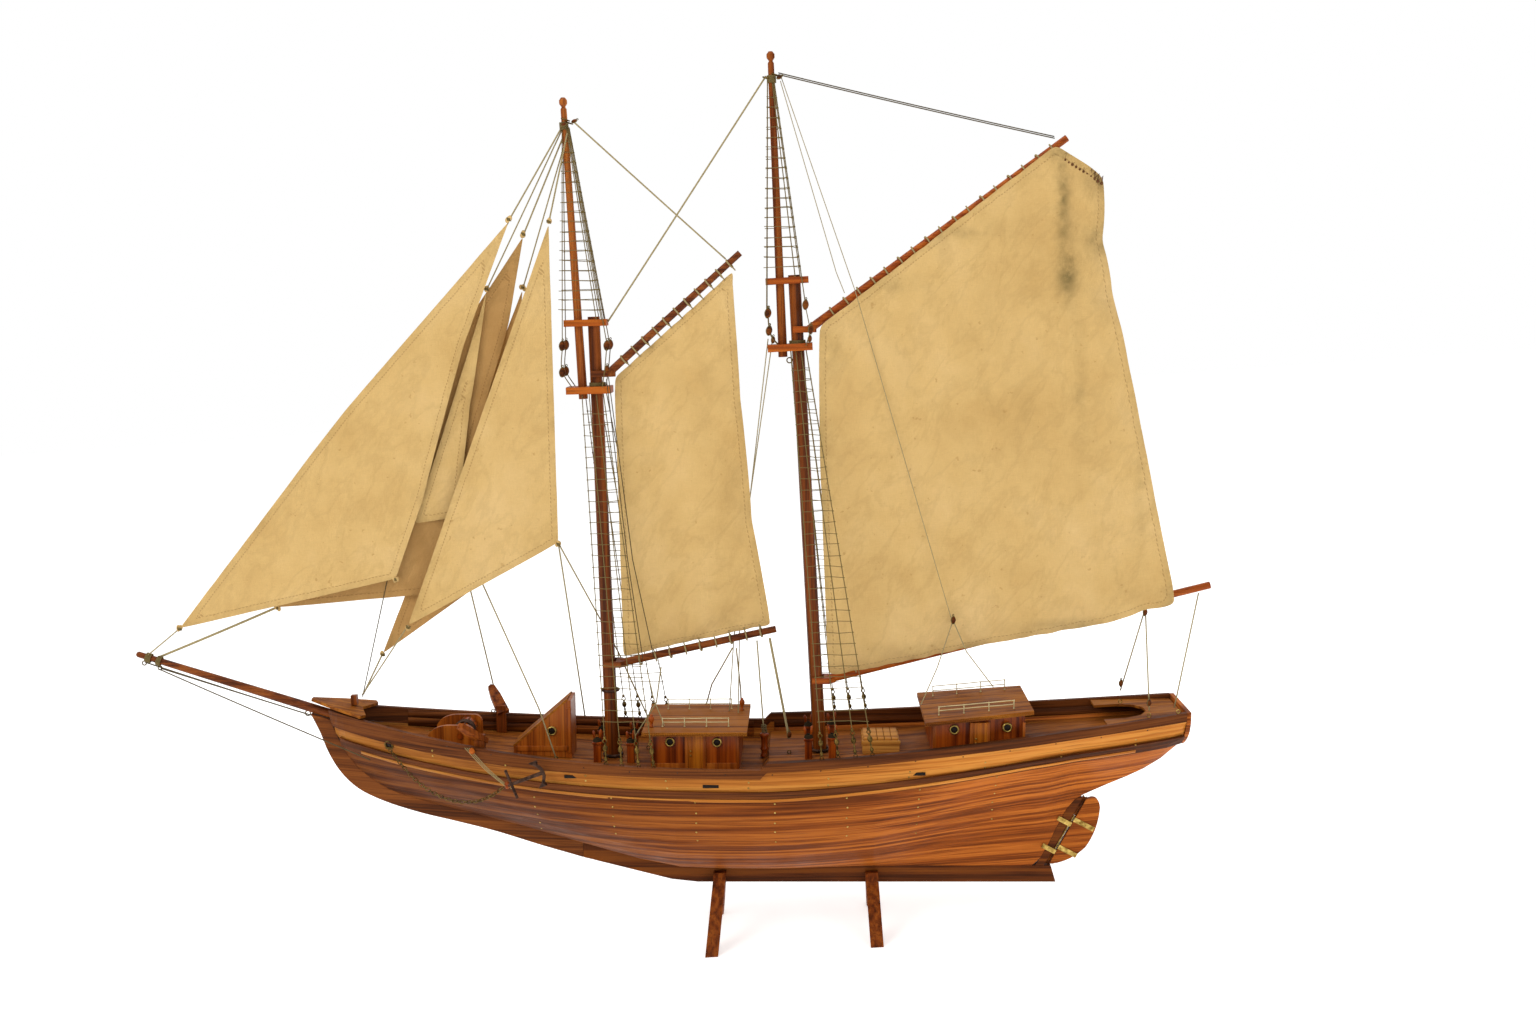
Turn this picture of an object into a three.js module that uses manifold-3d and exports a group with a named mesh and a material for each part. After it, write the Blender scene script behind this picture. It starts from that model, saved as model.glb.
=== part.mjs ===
// Model sailing ship: a two-masted schooner, planked on frames and standing on two crutches.
// Millimetres, +Z up. The ship is drawn with its keel level: X runs aft, Y to starboard, and
// Z = 0 is the underside of the keel. It is then trimmed bow-up and set on its crutches, and the
// origin is put under the middle of the whole model, on the table.
import * as THREE from 'three';
import { mergeVertices } from 'three/addons/utils/BufferGeometryUtils.js';
import Module from 'manifold-3d';

const wasm = await Module();
wasm.setup();

// ---- driving dimensions ----
const GAP = 0.3; // clearance between pieces that touch
const TRIM = THREE.MathUtils.degToRad(3.6); // bow-up lie on the crutches
const KEEL_HEIGHT = 53.6; // table to the underside of the keel amidships

const STEM_X = -465;
const WIDEST_X = -3;
const TRANSOM_X = 416;
const KEEL_TOP = 17;
const BACKBONE_HALF = 5; // half thickness of keel, stem and sternpost
const MAX_HALF = 94; // half breadth at the rail amidships
const TRANSOM_HALF = 39;
const PLANK = 3;
const WALE_WIDTH = 10;
const WALE_PROUD = 2;
const RAIL_PROUD = 1.5;
const RAIL_INSIDE = 4;
const BREAK_X = 2; // where the quarter deck starts
const BREAK_RISE = 6.6;
const DECK_DROP = 17; // rail top down to the deck on the centre line
const CAMBER = 2;
const DECK_THICKNESS = 2.5;

const WOOD = {
  bottom: 0x96603c,
  strake: 0xc88c46,
  dark: 0x5e3d2e,
  keel: 0x6e4128,
  deck: 0x965f41,
  cabin: 0x965023,
  roof: 0xa5734b,
  mast: 0x6e3c1e,
  topmast: 0x8c5634,
  spar: 0x6e3728,
  boom: 0xaf6941,
  pale: 0xc39664,
};
const SAILCLOTH = 0xd7b478;
const BRASS = 0xb49a58;
const IRON = 0x504038;

// ---- curves ----

// A smooth curve through [x, value] points that never overshoots them.
function through(points) {
  const slope = (a, b) => (b[1] - a[1]) / (b[0] - a[0]);
  const last = points.length - 1;
  const tangents = points.map((point, i) => {
    const before = slope(points[Math.max(i - 1, 0)], points[Math.max(i, 1)]);
    const after = slope(points[Math.min(i, last - 1)], points[Math.min(i + 1, last)]);
    return before * after > 0 ? (2 * before * after) / (before + after) : 0;
  });
  return (x) => {
    let i = 0;
    while (i < last - 1 && x > points[i + 1][0]) i += 1;
    const span = points[i + 1][0] - points[i][0];
    const t = THREE.MathUtils.clamp((x - points[i][0]) / span, 0, 1);
    const rise = 3 * t * t - 2 * t * t * t;
    return points[i][1] * (1 - rise) + points[i + 1][1] * rise
      + span * (tangents[i] * t * (1 - t) * (1 - t) - tangents[i + 1] * t * t * (1 - t));
  };
}

// The same outline with points added between its corners so that it reads as one curve.
function rounded(points, pieces = 4) {
  const flat = points.map(([x, z]) => new THREE.Vector3(x, z, 0));
  const curve = new THREE.CatmullRomCurve3(flat, false, 'centripetal');
  return curve.getPoints((points.length - 1) * pieces).map((p) => [p.x, p.y]);
}

// Centre-line edge that the planking lands on: stem, keel, sternpost, counter.
const rabbet = through([
  [-450, 182], [-440, 157], [-430, 136], [-415, 118], [-386, 98], [-357, 88], [-280, 68],
  [-190, 43], [-129, 26], [-87, 18], [-60, KEEL_TOP], [272, KEEL_TOP], [277, 22], [312, 86],
  [330, 96], [381, 119], [405, 135], [418, 148],
]);
const fullness = through([
  [-450, 1], [-366, 0.9], [-200, 0.7], [0, 0.58], [100, 0.75], [200, 1.7], [270, 2.8],
  [320, 1.6], [TRANSOM_X, 0.8],
]);
const railDepth = through([[-450, 17], [-366, 16], [-62, 9], [TRANSOM_X, 9]]);
const waleDepth = through([[-450, 27], [-366, 27], [-62, 22], [20, 22], [378, 17.7]]);

// Lowest line of the sheer, before the quarter deck's step.
function lowSheer(x) {
  const fore = Math.max(0, (-20 - x) / 445);
  const aft = Math.max(0, x / 421);
  return 145.7 + 44 * fore ** 2.1 + 35 * aft ** 1.35;
}

function sheer(x) {
  return lowSheer(x) + BREAK_RISE * THREE.MathUtils.smoothstep(x, BREAK_X - 6, BREAK_X);
}

function halfBreadth(x) {
  const fore = Math.max(0, (WIDEST_X - x) / (WIDEST_X - STEM_X));
  const aft = Math.max(0, (x - WIDEST_X) / (TRANSOM_X - WIDEST_X));
  return BACKBONE_HALF + (MAX_HALF - BACKBONE_HALF) * (1 - fore ** 2.35)
    - (MAX_HALF - TRANSOM_HALF) * aft ** 1.53;
}

// Half breadth of the outside of the planking.
function skin(x, z) {
  const rise = THREE.MathUtils.clamp((z - rabbet(x)) / (lowSheer(x) - rabbet(x)), 0, 1);
  const fill = Math.sin((Math.PI / 2) * rise ** fullness(x));
  return BACKBONE_HALF + (halfBreadth(x) - BACKBONE_HALF) * fill;
}

function sectionLean(x, z) {
  const step = 1.5;
  return (skin(x, z + step) - skin(x, z - step)) / (2 * step);
}

// A point of the section at x, set in from the outside by inset, on one side of the ship.
function sectionPoint(side, x, z, inset) {
  const lean = sectionLean(x, z);
  const length = Math.hypot(1, lean);
  const y = skin(x, z) - inset / length;
  return new THREE.Vector3(x, side * y, z + (inset * lean) / length);
}

const deckTop = (x, y = 0) => (
  sheer(x) - DECK_DROP - CAMBER * Math.min(1, (y / halfBreadth(x)) ** 2)
);
const railLow = (x) => sheer(x) - railDepth(x);
const waleTop = (x) => lowSheer(x) - waleDepth(x);
const seam = (x) => waleTop(x) - WALE_WIDTH / 2; // hidden behind the wale

// Planking keeps the same clearance to the rabbet where that line is steep.
function rabbetEdge(x) {
  const slope = rabbet(x + 0.5) - rabbet(x - 0.5);
  return rabbet(x) + GAP * Math.hypot(1, slope);
}

function spaced(from, to, count, ease = 1) {
  return Array.from({ length: count }, (_, i) => from + (to - from) * (i / count) ** ease);
}

const STATIONS = [
  ...spaced(-444, -340, 11, 1.4),
  ...spaced(-340, -4, 8),
  BREAK_X - 6, BREAK_X - 3, BREAK_X + 0.5,
  ...spaced(30, 262, 6),
  ...spaced(262, 330, 8),
  ...spaced(330, TRANSOM_X, 5), TRANSOM_X,
];

// ---- solids ----

function closedSolid(points, triangles) {
  const geometry = new THREE.BufferGeometry();
  geometry.setAttribute('position', new THREE.Float32BufferAttribute(
    points.flatMap((point) => point.toArray()), 3,
  ));
  const volume = new THREE.Vector3();
  let total = 0;
  for (let i = 0; i < triangles.length; i += 3) {
    const [a, b, c] = [points[triangles[i]], points[triangles[i + 1]], points[triangles[i + 2]]];
    total += a.dot(volume.crossVectors(b, c));
  }
  if (total < 0) triangles.reverse();
  geometry.setIndex(triangles);
  return geometry;
}

// A closed wall between two grids of points of the same size.
function shell(front, back) {
  const rows = front.length;
  const cols = front[0].length;
  const triangles = [];
  const at = (side, r, c) => side * rows * cols + r * cols + c;
  const quad = (a, b, c, d) => triangles.push(a, b, c, a, c, d);
  for (let r = 0; r < rows - 1; r += 1) {
    for (let c = 0; c < cols - 1; c += 1) {
      quad(at(0, r, c), at(0, r, c + 1), at(0, r + 1, c + 1), at(0, r + 1, c));
      quad(at(1, r, c), at(1, r + 1, c), at(1, r + 1, c + 1), at(1, r, c + 1));
    }
    const end = cols - 1;
    quad(at(0, r, 0), at(0, r + 1, 0), at(1, r + 1, 0), at(1, r, 0));
    quad(at(0, r, end), at(1, r, end), at(1, r + 1, end), at(0, r + 1, end));
  }
  for (let c = 0; c < cols - 1; c += 1) {
    const end = rows - 1;
    quad(at(0, 0, c), at(1, 0, c), at(1, 0, c + 1), at(0, 0, c + 1));
    quad(at(0, end, c), at(0, end, c + 1), at(1, end, c + 1), at(1, end, c));
  }
  return closedSolid([...front.flat(), ...back.flat()], triangles);
}

// A strip of hull planking between two height curves, rows close together near the keel.
function hullBand(side, low, high, rows, outerInset, innerInset) {
  const stations = STATIONS.filter((x) => high(x) - low(x) > 1);
  const grid = (inset) => stations.map((x) => Array.from({ length: rows + 1 }, (_, row) => {
    const z = low(x) + (high(x) - low(x)) * (row / rows) ** (rows > 1 ? 1.7 : 1);
    return sectionPoint(side, x, z, inset);
  }));
  return shell(grid(outerInset), grid(innerInset));
}

const outline = (points) => new THREE.Shape(points.map(([a, b]) => new THREE.Vector2(a, b)));

// Extrusions of an outline across the ship, along it and upwards.
function acrossPlate(points, yLow, yHigh) {
  const options = { depth: yHigh - yLow, bevelEnabled: false, curveSegments: 8 };
  const shape = points instanceof THREE.Shape ? points : outline(points);
  const geometry = new THREE.ExtrudeGeometry(shape, options);
  return geometry.rotateX(Math.PI / 2).translate(0, yHigh, 0);
}

function alongPlate(points, xLow, xHigh) {
  const options = { depth: xHigh - xLow, bevelEnabled: false, curveSegments: 8 };
  const shape = points instanceof THREE.Shape ? points : outline(points);
  const turn = new THREE.Matrix4().makeBasis(
    new THREE.Vector3(0, 1, 0), new THREE.Vector3(0, 0, 1), new THREE.Vector3(1, 0, 0),
  );
  return new THREE.ExtrudeGeometry(shape, options).applyMatrix4(turn).translate(xLow, 0, 0);
}

function flatPlate(points, zLow, thickness) {
  const options = { depth: thickness, bevelEnabled: false, curveSegments: 8 };
  const shape = points instanceof THREE.Shape ? points : outline(points);
  return new THREE.ExtrudeGeometry(shape, options).translate(0, 0, zLow);
}

function box(x0, x1, y0, y1, z0, z1) {
  return new THREE.BoxGeometry(x1 - x0, y1 - y0, z1 - z0)
    .translate((x0 + x1) / 2, (y0 + y1) / 2, (z0 + z1) / 2);
}

// Turned piece from point a towards point b; the profile is [radius, distance from a].
function turned(a, b, profile, sides = 12) {
  const direction = b.clone().sub(a).normalize();
  const turn = new THREE.Quaternion().setFromUnitVectors(new THREE.Vector3(0, 1, 0), direction);
  return new THREE.LatheGeometry(profile.map(([r, h]) => new THREE.Vector2(r, h)), sides)
    .applyQuaternion(turn).translate(a.x, a.y, a.z);
}

function rod(a, b, radiusA, radiusB = radiusA, sides = 12) {
  const length = a.distanceTo(b);
  return turned(a, b, [[0, 0], [radiusA, 0], [radiusB, length], [0, length]], sides);
}

const point = (x, z, y = 0) => new THREE.Vector3(x, y, z);

// ---- booleans ----

function toManifold(geometry) {
  const bare = geometry.clone();
  bare.deleteAttribute('normal');
  bare.deleteAttribute('uv');
  const merged = mergeVertices(bare, 1e-3);
  const index = merged.index.array;
  const kept = [];
  for (let i = 0; i < index.length; i += 3) {
    const corners = new Set([index[i], index[i + 1], index[i + 2]]);
    if (corners.size === 3) kept.push(index[i], index[i + 1], index[i + 2]);
  }
  return new wasm.Manifold(new wasm.Mesh({
    numProp: 3,
    vertProperties: Float32Array.from(merged.attributes.position.array),
    triVerts: Uint32Array.from(kept),
  }));
}

function fromManifold(solid) {
  const mesh = solid.getMesh();
  const geometry = new THREE.BufferGeometry();
  geometry.setAttribute('position', new THREE.BufferAttribute(mesh.vertProperties, 3));
  geometry.setIndex(new THREE.BufferAttribute(mesh.triVerts, 1));
  return geometry;
}

function join(...geometries) {
  const solids = geometries.map(toManifold);
  return fromManifold(solids.reduce((sum, solid) => sum.add(solid)));
}

function cut(geometry, ...cutters) {
  const solid = toManifold(geometry);
  return fromManifold(cutters.map(toManifold).reduce((rest, cutter) => rest.subtract(cutter), solid));
}

// Everything from well below the deck up to just clear of its upper face.
function belowDeck(from, to) {
  const stations = spaced(from, to, 40);
  const columns = [-1, -0.6, -0.3, 0, 0.3, 0.6, 1];
  const top = stations.map((x) => columns.map((c) => point(x, deckTop(x, c * MAX_HALF) + GAP, c * MAX_HALF)));
  const floor = stations.map((x) => columns.map((c) => point(x, 60, c * MAX_HALF)));
  return shell(top, floor);
}

const onMainDeck = (geometry) => cut(geometry, belowDeck(-430, BREAK_X + 1));
const onQuarterDeck = (geometry) => cut(geometry, belowDeck(BREAK_X + 1, 412));

// ---- the assembly ----

const ship = new THREE.Group();
const model = new THREE.Group();

function add(name, geometry, color, roughness = 0.6, metalness = 0, parent = ship) {
  const solid = geometry.index ? geometry.toNonIndexed() : geometry;
  solid.computeVertexNormals();
  const material = new THREE.MeshStandardMaterial({ color, roughness, metalness });
  const mesh = new THREE.Mesh(solid, material);
  mesh.name = name;
  parent.add(mesh);
  return mesh;
}

const SIDES = [['port', -1], ['starboard', 1]];

// Lower masts and topmasts: ends on the centre line and radii.
const FORE_MAST = { foot: point(-156.5, 80), head: point(-167, 579), foot_r: 7, head_r: 6 };
const MAIN_MAST = { foot: point(57, 80), head: point(31, 618), foot_r: 7, head_r: 6 };
const FORE_TOPMAST = { foot: point(-179, 498), head: point(-192, 790), foot_r: 4.5, head_r: 3 };
const MAIN_TOPMAST = { foot: point(19.5, 538), head: point(9.5, 831), foot_r: 4.5, head_r: 3 };

const onMast = (mast, z) => {
  const t = (z - mast.foot.z) / (mast.head.z - mast.foot.z);
  return mast.foot.clone().lerp(mast.head, t);
};

function addBackbone() {
  const bow = STATIONS.filter((x) => x < -190);
  const stemInner = [[-446.4, 172.2], ...bow.map((x) => [x, rabbet(x)]), [-190, rabbet(-190)]];
  const stemOuter = rounded([
    [-190, 26.5], [-235, 40], [-280, 54.5], [-320, 65], [-358, 74.5], [-395, 87], [-420, 100],
    [-437, 117], [-449, 138], [-457, 160], [-465.5, 178.3],
  ]);
  add('stem', acrossPlate([...stemInner, ...stemOuter], -BACKBONE_HALF, BACKBONE_HALF), WOOD.keel);

  const scarf = -190 + GAP;
  const keelTop = [...STATIONS.filter((x) => x > scarf && x < 272), 290]
    .map((x) => [x, rabbet(Math.min(x, 272))]);
  const keelOuter = [[295, 0], [-72, 0], [-99, 3], [scarf, 26.4]];
  add('keel', acrossPlate([[scarf, rabbet(scarf)], ...keelTop, ...keelOuter],
    -BACKBONE_HALF, BACKBONE_HALF), WOOD.keel);

  const post = STATIONS.filter((x) => x > 274 && x < 316).map((x) => [x, rabbet(x)]);
  add('sternpost', acrossPlate([
    [274, KEEL_TOP + GAP], ...post, [317.5, 89], [321, 89], [282.6, KEEL_TOP + GAP],
  ], -BACKBONE_HALF, BACKBONE_HALF), WOOD.keel);
}

function addHull() {
  for (const [label, side] of SIDES) {
    const above = (low) => (x) => Math.max(rabbetEdge(x), low(x) + GAP / 2);
    const below = (high) => (x) => high(x) - GAP / 2;
    add(`bottom_planking_${label}`,
      hullBand(side, rabbetEdge, below(seam), 8, 0, PLANK), WOOD.bottom);
    add(`sheer_strake_${label}`,
      hullBand(side, above(seam), below(railLow), 1, 0, PLANK), WOOD.strake);
    add(`rail_${label}`,
      hullBand(side, above(railLow), sheer, 1, -RAIL_PROUD, RAIL_INSIDE), WOOD.dark);
    const waleLow = (x) => Math.max(rabbetEdge(x), waleTop(x) - WALE_WIDTH);
    add(`wale_${label}`,
      hullBand(side, waleLow, waleTop, 2, -2 * GAP - WALE_PROUD, -2 * GAP), WOOD.dark);
  }
}

// Half outline of the section at x, from the keel to the top, mirrored to both sides.
function sectionOutline(x, top, inset) {
  const low = rabbet(x) + inset + GAP;
  const half = Array.from({ length: 11 }, (_, i) => {
    const z = low + (top - low) * (i / 10) ** 1.7;
    const edge = sectionPoint(1, x, z, inset);
    return [Math.max(edge.y, 0.5), Math.min(edge.z, top)];
  });
  return [...half, ...half.map(([y, z]) => [-y, z]).reverse()];
}

function addBulkheads() {
  const inset = PLANK + 1;
  [-273, -75, 145].forEach((x, i) => {
    const top = Math.min(deckTop(x, MAX_HALF), deckTop(x + 4, MAX_HALF)) - DECK_THICKNESS - 1;
    const shape = outline(sectionOutline(x > 0 ? x + 4 : x, top, inset));
    const hole = new THREE.Path().absellipse(0, top - 36, 26, 18, 0, 2 * Math.PI, true);
    shape.holes.push(hole);
    add(`bulkhead_${i + 1}`, alongPlate(shape, x, x + 4), WOOD.pale, 0.8);
  });
}

function deckPlate(from, to, thickness) {
  const inner = STATIONS.filter((x) => x > from + 2 && x < to - 2);
  const stations = [from, ...inner, to];
  const grid = (drop) => stations.map((x) => {
    const edgeZ = deckTop(x, MAX_HALF) - thickness(x);
    const half = skin(x, edgeZ) - (PLANK + 4 * GAP) * Math.hypot(1, sectionLean(x, edgeZ));
    return [-1, -0.5, 0, 0.5, 1].map((c) => point(x, deckTop(x, c * half) - drop(x), c * half));
  });
  return shell(grid(() => 0), grid(thickness));
}

function mastHole(mast, low, high) {
  return rod(onMast(mast, low), onMast(mast, high), mast.foot_r + GAP);
}

function addDecks() {
  const foreHole = mastHole(FORE_MAST, 100, 200);
  add('main_deck', cut(deckPlate(-440, BREAK_X, () => DECK_THICKNESS), foreHole), WOOD.deck, 0.7);
  const riser = (x) => (x < BREAK_X + 5 ? DECK_THICKNESS + 4 : DECK_THICKNESS);
  const quarterDeck = deckPlate(BREAK_X + GAP, TRANSOM_X - 2, riser);
  add('quarter_deck', cut(quarterDeck, mastHole(MAIN_MAST, 100, 200)), WOOD.deck, 0.7);

  const poopFrom = 337;
  const poopTo = TRANSOM_X - 0.5;
  const side = [0, 0.25, 0.5, 0.75, 1].map((t) => {
    const x = poopFrom + (poopTo - poopFrom) * t;
    return [x, halfBreadth(x) - RAIL_INSIDE - 2 * GAP];
  });
  const shape = outline([...side, ...side.map(([x, y]) => [x, -y]).reverse()]);
  const poop = flatPlate(shape, 0, DECK_THICKNESS);
  const well = flatPlate(outline([
    [poopFrom - 5, -27], [poopFrom + 22, -27], [poopFrom + 38, -20], [poopFrom + 46, -7],
    [poopFrom + 46, 7], [poopFrom + 38, 20], [poopFrom + 22, 27], [poopFrom - 5, 27],
  ]), -5, 12);
  const slope = new THREE.Matrix4().makeRotationY(-0.067);
  add('poop_deck', cut(poop, well).translate(-poopFrom, 0, 0).applyMatrix4(slope)
    .translate(poopFrom, 0, 174.5), WOOD.deck, 0.7);

  const transomTop = sheer(TRANSOM_X);
  const board = sectionOutline(TRANSOM_X, transomTop, 0);
  add('transom', alongPlate(board, TRANSOM_X + GAP, TRANSOM_X + 4.5), WOOD.dark);
}

function addBow() {
  const boardFrom = STEM_X;
  const boardTo = -410;
  const slope = Math.atan2(sheer(boardFrom + 8) - sheer(boardTo), boardTo - boardFrom - 8);
  const half = halfBreadth(boardTo) + RAIL_PROUD + 2;
  const shape = outline([
    [0, -3], [30, -half * 0.62], [58, -half], [62, -half + 7], [52, 0], [62, half - 7],
    [58, half], [30, half * 0.62], [0, 3],
  ]);
  const board = flatPlate(shape, 0, 3);
  const lift = sheer(boardTo) + (boardTo - boardFrom) * Math.tan(slope) + 1.8;
  add('breasthook', board.rotateY(slope).translate(boardFrom, 0, lift), WOOD.pale);

  const tip = point(-643, 240.7);
  const heel = point(-443, 176.4);
  const length = tip.distanceTo(heel);
  add('bowsprit', turned(heel, tip, [[0, 0], [4.6, 0], [4.6, 40], [3, length - 1.5], [2, length],
    [0, length]]), WOOD.spar, 0.5);

  const bitt = box(-3, 3, -3, 3, 0, 10);
  add('bow_bitt', bitt.rotateY(-0.05).translate(-421, 0, 187), WOOD.cabin);
}

function addWindlass() {
  const axle = point(-309, 160);
  const drumHalf = 18;
  const cheek = new THREE.Shape();
  cheek.moveTo(-342, 135);
  cheek.lineTo(-295, 135);
  cheek.lineTo(-295, 163);
  cheek.absarc(-303, 163, 8, 0, Math.PI / 2, false);
  cheek.lineTo(-322, 171);
  cheek.quadraticCurveTo(-337, 170, -342, 160);
  cheek.closePath();
  const cheeks = [-1, 1].map((s) => (
    acrossPlate(cheek, s * (drumHalf + 3.2) - 2.2, s * (drumHalf + 3.2) + 2.2)
  ));
  const base = box(-342, -295, -drumHalf - 4, drumHalf + 4, 135, 149);
  const bore = rod(point(axle.x, axle.z, -40), point(axle.x, axle.z, 40), 3 + GAP);
  add('windlass_frame', onMainDeck(cut(join(...cheeks, base), bore)), WOOD.cabin);

  const end = drumHalf + 6.5;
  add('windlass_drum', turned(point(axle.x, axle.z, -end), point(axle.x, axle.z, end), [
    [0, 0], [3, 0], [3, end - drumHalf + 0.5], [9.5, end - drumHalf + 0.5],
    [8.6, end - 8], [8.6, end + 8], [9.5, end + drumHalf - 0.5], [3, end + drumHalf - 0.5],
    [3, 2 * end], [0, 2 * end],
  ], 14), WOOD.boom);
}

// A cathead is a short post inside the rail with a paddle-shaped arm reaching out over it.
function addCatheads() {
  for (const [label, side] of SIDES) {
    const post = box(-287, -277, 53, 59.5, 120, 171);
    const arm = outline([[-6, -6.5], [-6, 6.5], [18, 5.5], [31, 3.5], [33, 0], [31, -3.5], [18, -5.5]]);
    const reach = new THREE.Vector3(-17, 24, 22).normalize();
    const wide = new THREE.Vector3(1, 0.5, 0.2).projectOnPlane(reach).normalize();
    const thin = new THREE.Vector3().crossVectors(reach, wide);
    const place = new THREE.Matrix4().makeBasis(reach, wide, thin).setPosition(-282, 57.5, 167);
    const paddle = flatPlate(arm, -2.5, 5).applyMatrix4(place);
    const cathead = onMainDeck(join(post, paddle));
    if (side < 0) cathead.applyMatrix4(new THREE.Matrix4().makeScale(1, -1, 1));
    if (side < 0) cathead.index.array.reverse();
    add(`cathead_${label}`, cathead, WOOD.keel);
  }
}

// Where the chain leaves the hawse hole and where the anchor hangs, on the starboard side.
const ANCHOR_RING = point(-251, 128, 86);
const CHAIN_ROUTE = [
  point(-377.5, 155, 42.5), point(-366, 141, 46.5), point(-350, 125, 52), point(-331, 113, 58.5),
  point(-308, 106.5, 66.5), point(-285, 108.5, 74.5), point(-268, 116, 80.5), point(-256, 125, 84.6),
];

function addGroundTackle() {
  for (const [label, side] of SIDES) {
    const flip = (p) => new THREE.Vector3(p.x, side * p.y, p.z);
    const ring = flip(ANCHOR_RING);
    const crown = ring.clone().add(new THREE.Vector3(39, side * 4, 15.5));
    const along = crown.clone().sub(ring).normalize();
    const up = new THREE.Vector3(-0.3, 0, 1).projectOnPlane(along).normalize();
    const at = (a, b) => ring.clone().addScaledVector(along, a).addScaledVector(up, b);
    const arms = new THREE.QuadraticBezierCurve3(at(33, -12), at(46, 0), at(33, 12));
    const section = new THREE.Shape().absellipse(0, 0, 1.7, 1.7, 0, 2 * Math.PI);
    const arc = new THREE.ExtrudeGeometry(section, {
      extrudePath: arms, steps: 8, curveSegments: 3, bevelEnabled: false,
    });
    const fluke = (s) => rod(at(37, s * 10.4), at(29.5, s * 13.2), 3.4, 0.4, 6);
    add(`anchor_${label}`, join(
      rod(at(1.5, 0), at(40, 0), 1.6, 2, 8), rod(at(5, -15), at(5, 15), 1.4, 1.4, 8),
      arc, fluke(1), fluke(-1),
    ), IRON, 0.6, 0.8);

    const route = new THREE.CatmullRomCurve3(CHAIN_ROUTE.map(flip));
    const link = new THREE.Shape().absellipse(0, 0, 1.9, 1.9, 0, 2 * Math.PI);
    add(`anchor_chain_${label}`, new THREE.ExtrudeGeometry(link, {
      extrudePath: route, steps: 26, curveSegments: 4, bevelEnabled: false,
    }), BRASS, 0.5, 0.9);
  }
}

function addDeckHouses() {
  const hood = acrossPlate([
    [-256, 120], [-197, 120], [-197, 195], [-200, 195], [-256, 147],
  ], -17, 17);
  add('companionway', onMainDeck(hood), WOOD.cabin);

  add('fore_cabin', onMainDeck(box(-114, -26, -47, 47, 110, 168)), WOOD.cabin);
  add('fore_cabin_roof', box(-122, -18, -55, 55, 168 + GAP, 172), WOOD.roof);

  const slope = 0.09;
  const walls = outline([[165, -52], [256, -45], [256, 45], [165, 52]]);
  const tilted = flatPlate(walls, 120, 59).applyMatrix4(
    new THREE.Matrix4().makeShear(0, slope, 0, 0, 0, 0),
  ).translate(0, 0, -slope * 165);
  add('aft_cabin', onQuarterDeck(tilted), WOOD.cabin);
  const cover = outline([[157, -60], [264, -51], [264, 51], [157, 60]]);
  const roof = flatPlate(cover, 179 + GAP, 4).applyMatrix4(
    new THREE.Matrix4().makeShear(0, slope, 0, 0, 0, 0),
  ).translate(0, 0, -slope * 165);
  add('aft_cabin_roof', roof, WOOD.roof);

  add('hatch', onQuarterDeck(box(97, 134, -22, 22, 125, 153.5)), WOOD.roof);
}

// A board through which both masts of a doubling pass.
function doublingBoard(lower, upper, z, length, width, thickness) {
  const a = onMast(lower, z);
  const b = onMast(upper, z);
  const board = new THREE.BoxGeometry(length, width, thickness);
  const lean = Math.atan2(lower.head.x - lower.foot.x, lower.head.z - lower.foot.z);
  board.rotateY(lean).translate((a.x + b.x) / 2, 0, z);
  const bores = [lower, upper].map((mast) => {
    const [low, high] = [onMast(mast, z - 20), onMast(mast, z + 20)];
    return rod(low, high, radiusAt(mast, z - 20) + GAP, radiusAt(mast, z + 20) + GAP);
  });
  return cut(board, ...bores);
}

function radiusAt(mast, z) {
  const t = (z - mast.foot.z) / (mast.head.z - mast.foot.z);
  return mast.foot_r + (mast.head_r - mast.foot_r) * t;
}

function addMasts() {
  const masts = [
    ['fore', FORE_MAST, FORE_TOPMAST, 507, 573, WOOD.topmast],
    ['main', MAIN_MAST, MAIN_TOPMAST, 547.5, 612.5, WOOD.mast],
  ];
  for (const [label, lower, upper, trestleZ, capZ, color] of masts) {
    add(`${label}_lower_mast`, rod(lower.foot, lower.head, lower.foot_r, lower.head_r),
      WOOD.mast, 0.5);
    const length = upper.foot.distanceTo(upper.head);
    add(`${label}_topmast`, turned(upper.foot, upper.head, [
      [0, 0], [upper.foot_r, 0], [upper.head_r, length - 11], [1.8, length - 9],
      [3.9, length - 6], [3.9, length - 2.5], [2, length], [0, length],
    ]), color, 0.5);
    add(`${label}_trestle`, doublingBoard(lower, upper, trestleZ, 44, 26, 7), WOOD.cabin);
    add(`${label}_cap`, doublingBoard(lower, upper, capZ, 42, 18, 6.5), WOOD.cabin);
  }
}

// Boom or gaff: a tapered spar with a fork that straddles the mast.
function jawedSpar(mast, z, end, rootRadius, endRadius) {
  const axis = onMast(mast, z);
  const clear = radiusAt(mast, z) + 1;
  const fork = flatPlate(outline([
    [-4, clear], [clear, clear], [clear, -clear], [-4, -clear], [-4, -clear - 3],
    [clear + 5, -clear - 3], [clear + 12, -3], [clear + 12, 3], [clear + 5, clear + 3],
    [-4, clear + 3],
  ]), -3, 6).translate(axis.x, 0, z);
  const start = point(axis.x + clear + 5, z);
  return join(fork, rod(start, end, rootRadius, endRadius));
}

const FORE_BOOM = { z: 230, end: point(10.4, 264.3) };
const FORE_GAFF = { z: 523, end: point(-21.8, 639.8) };
const MAIN_BOOM = { z: 212.5, end: point(444.9, 307.5) };
const MAIN_GAFF = { z: 565, end: point(295.2, 746.5) };

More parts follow.
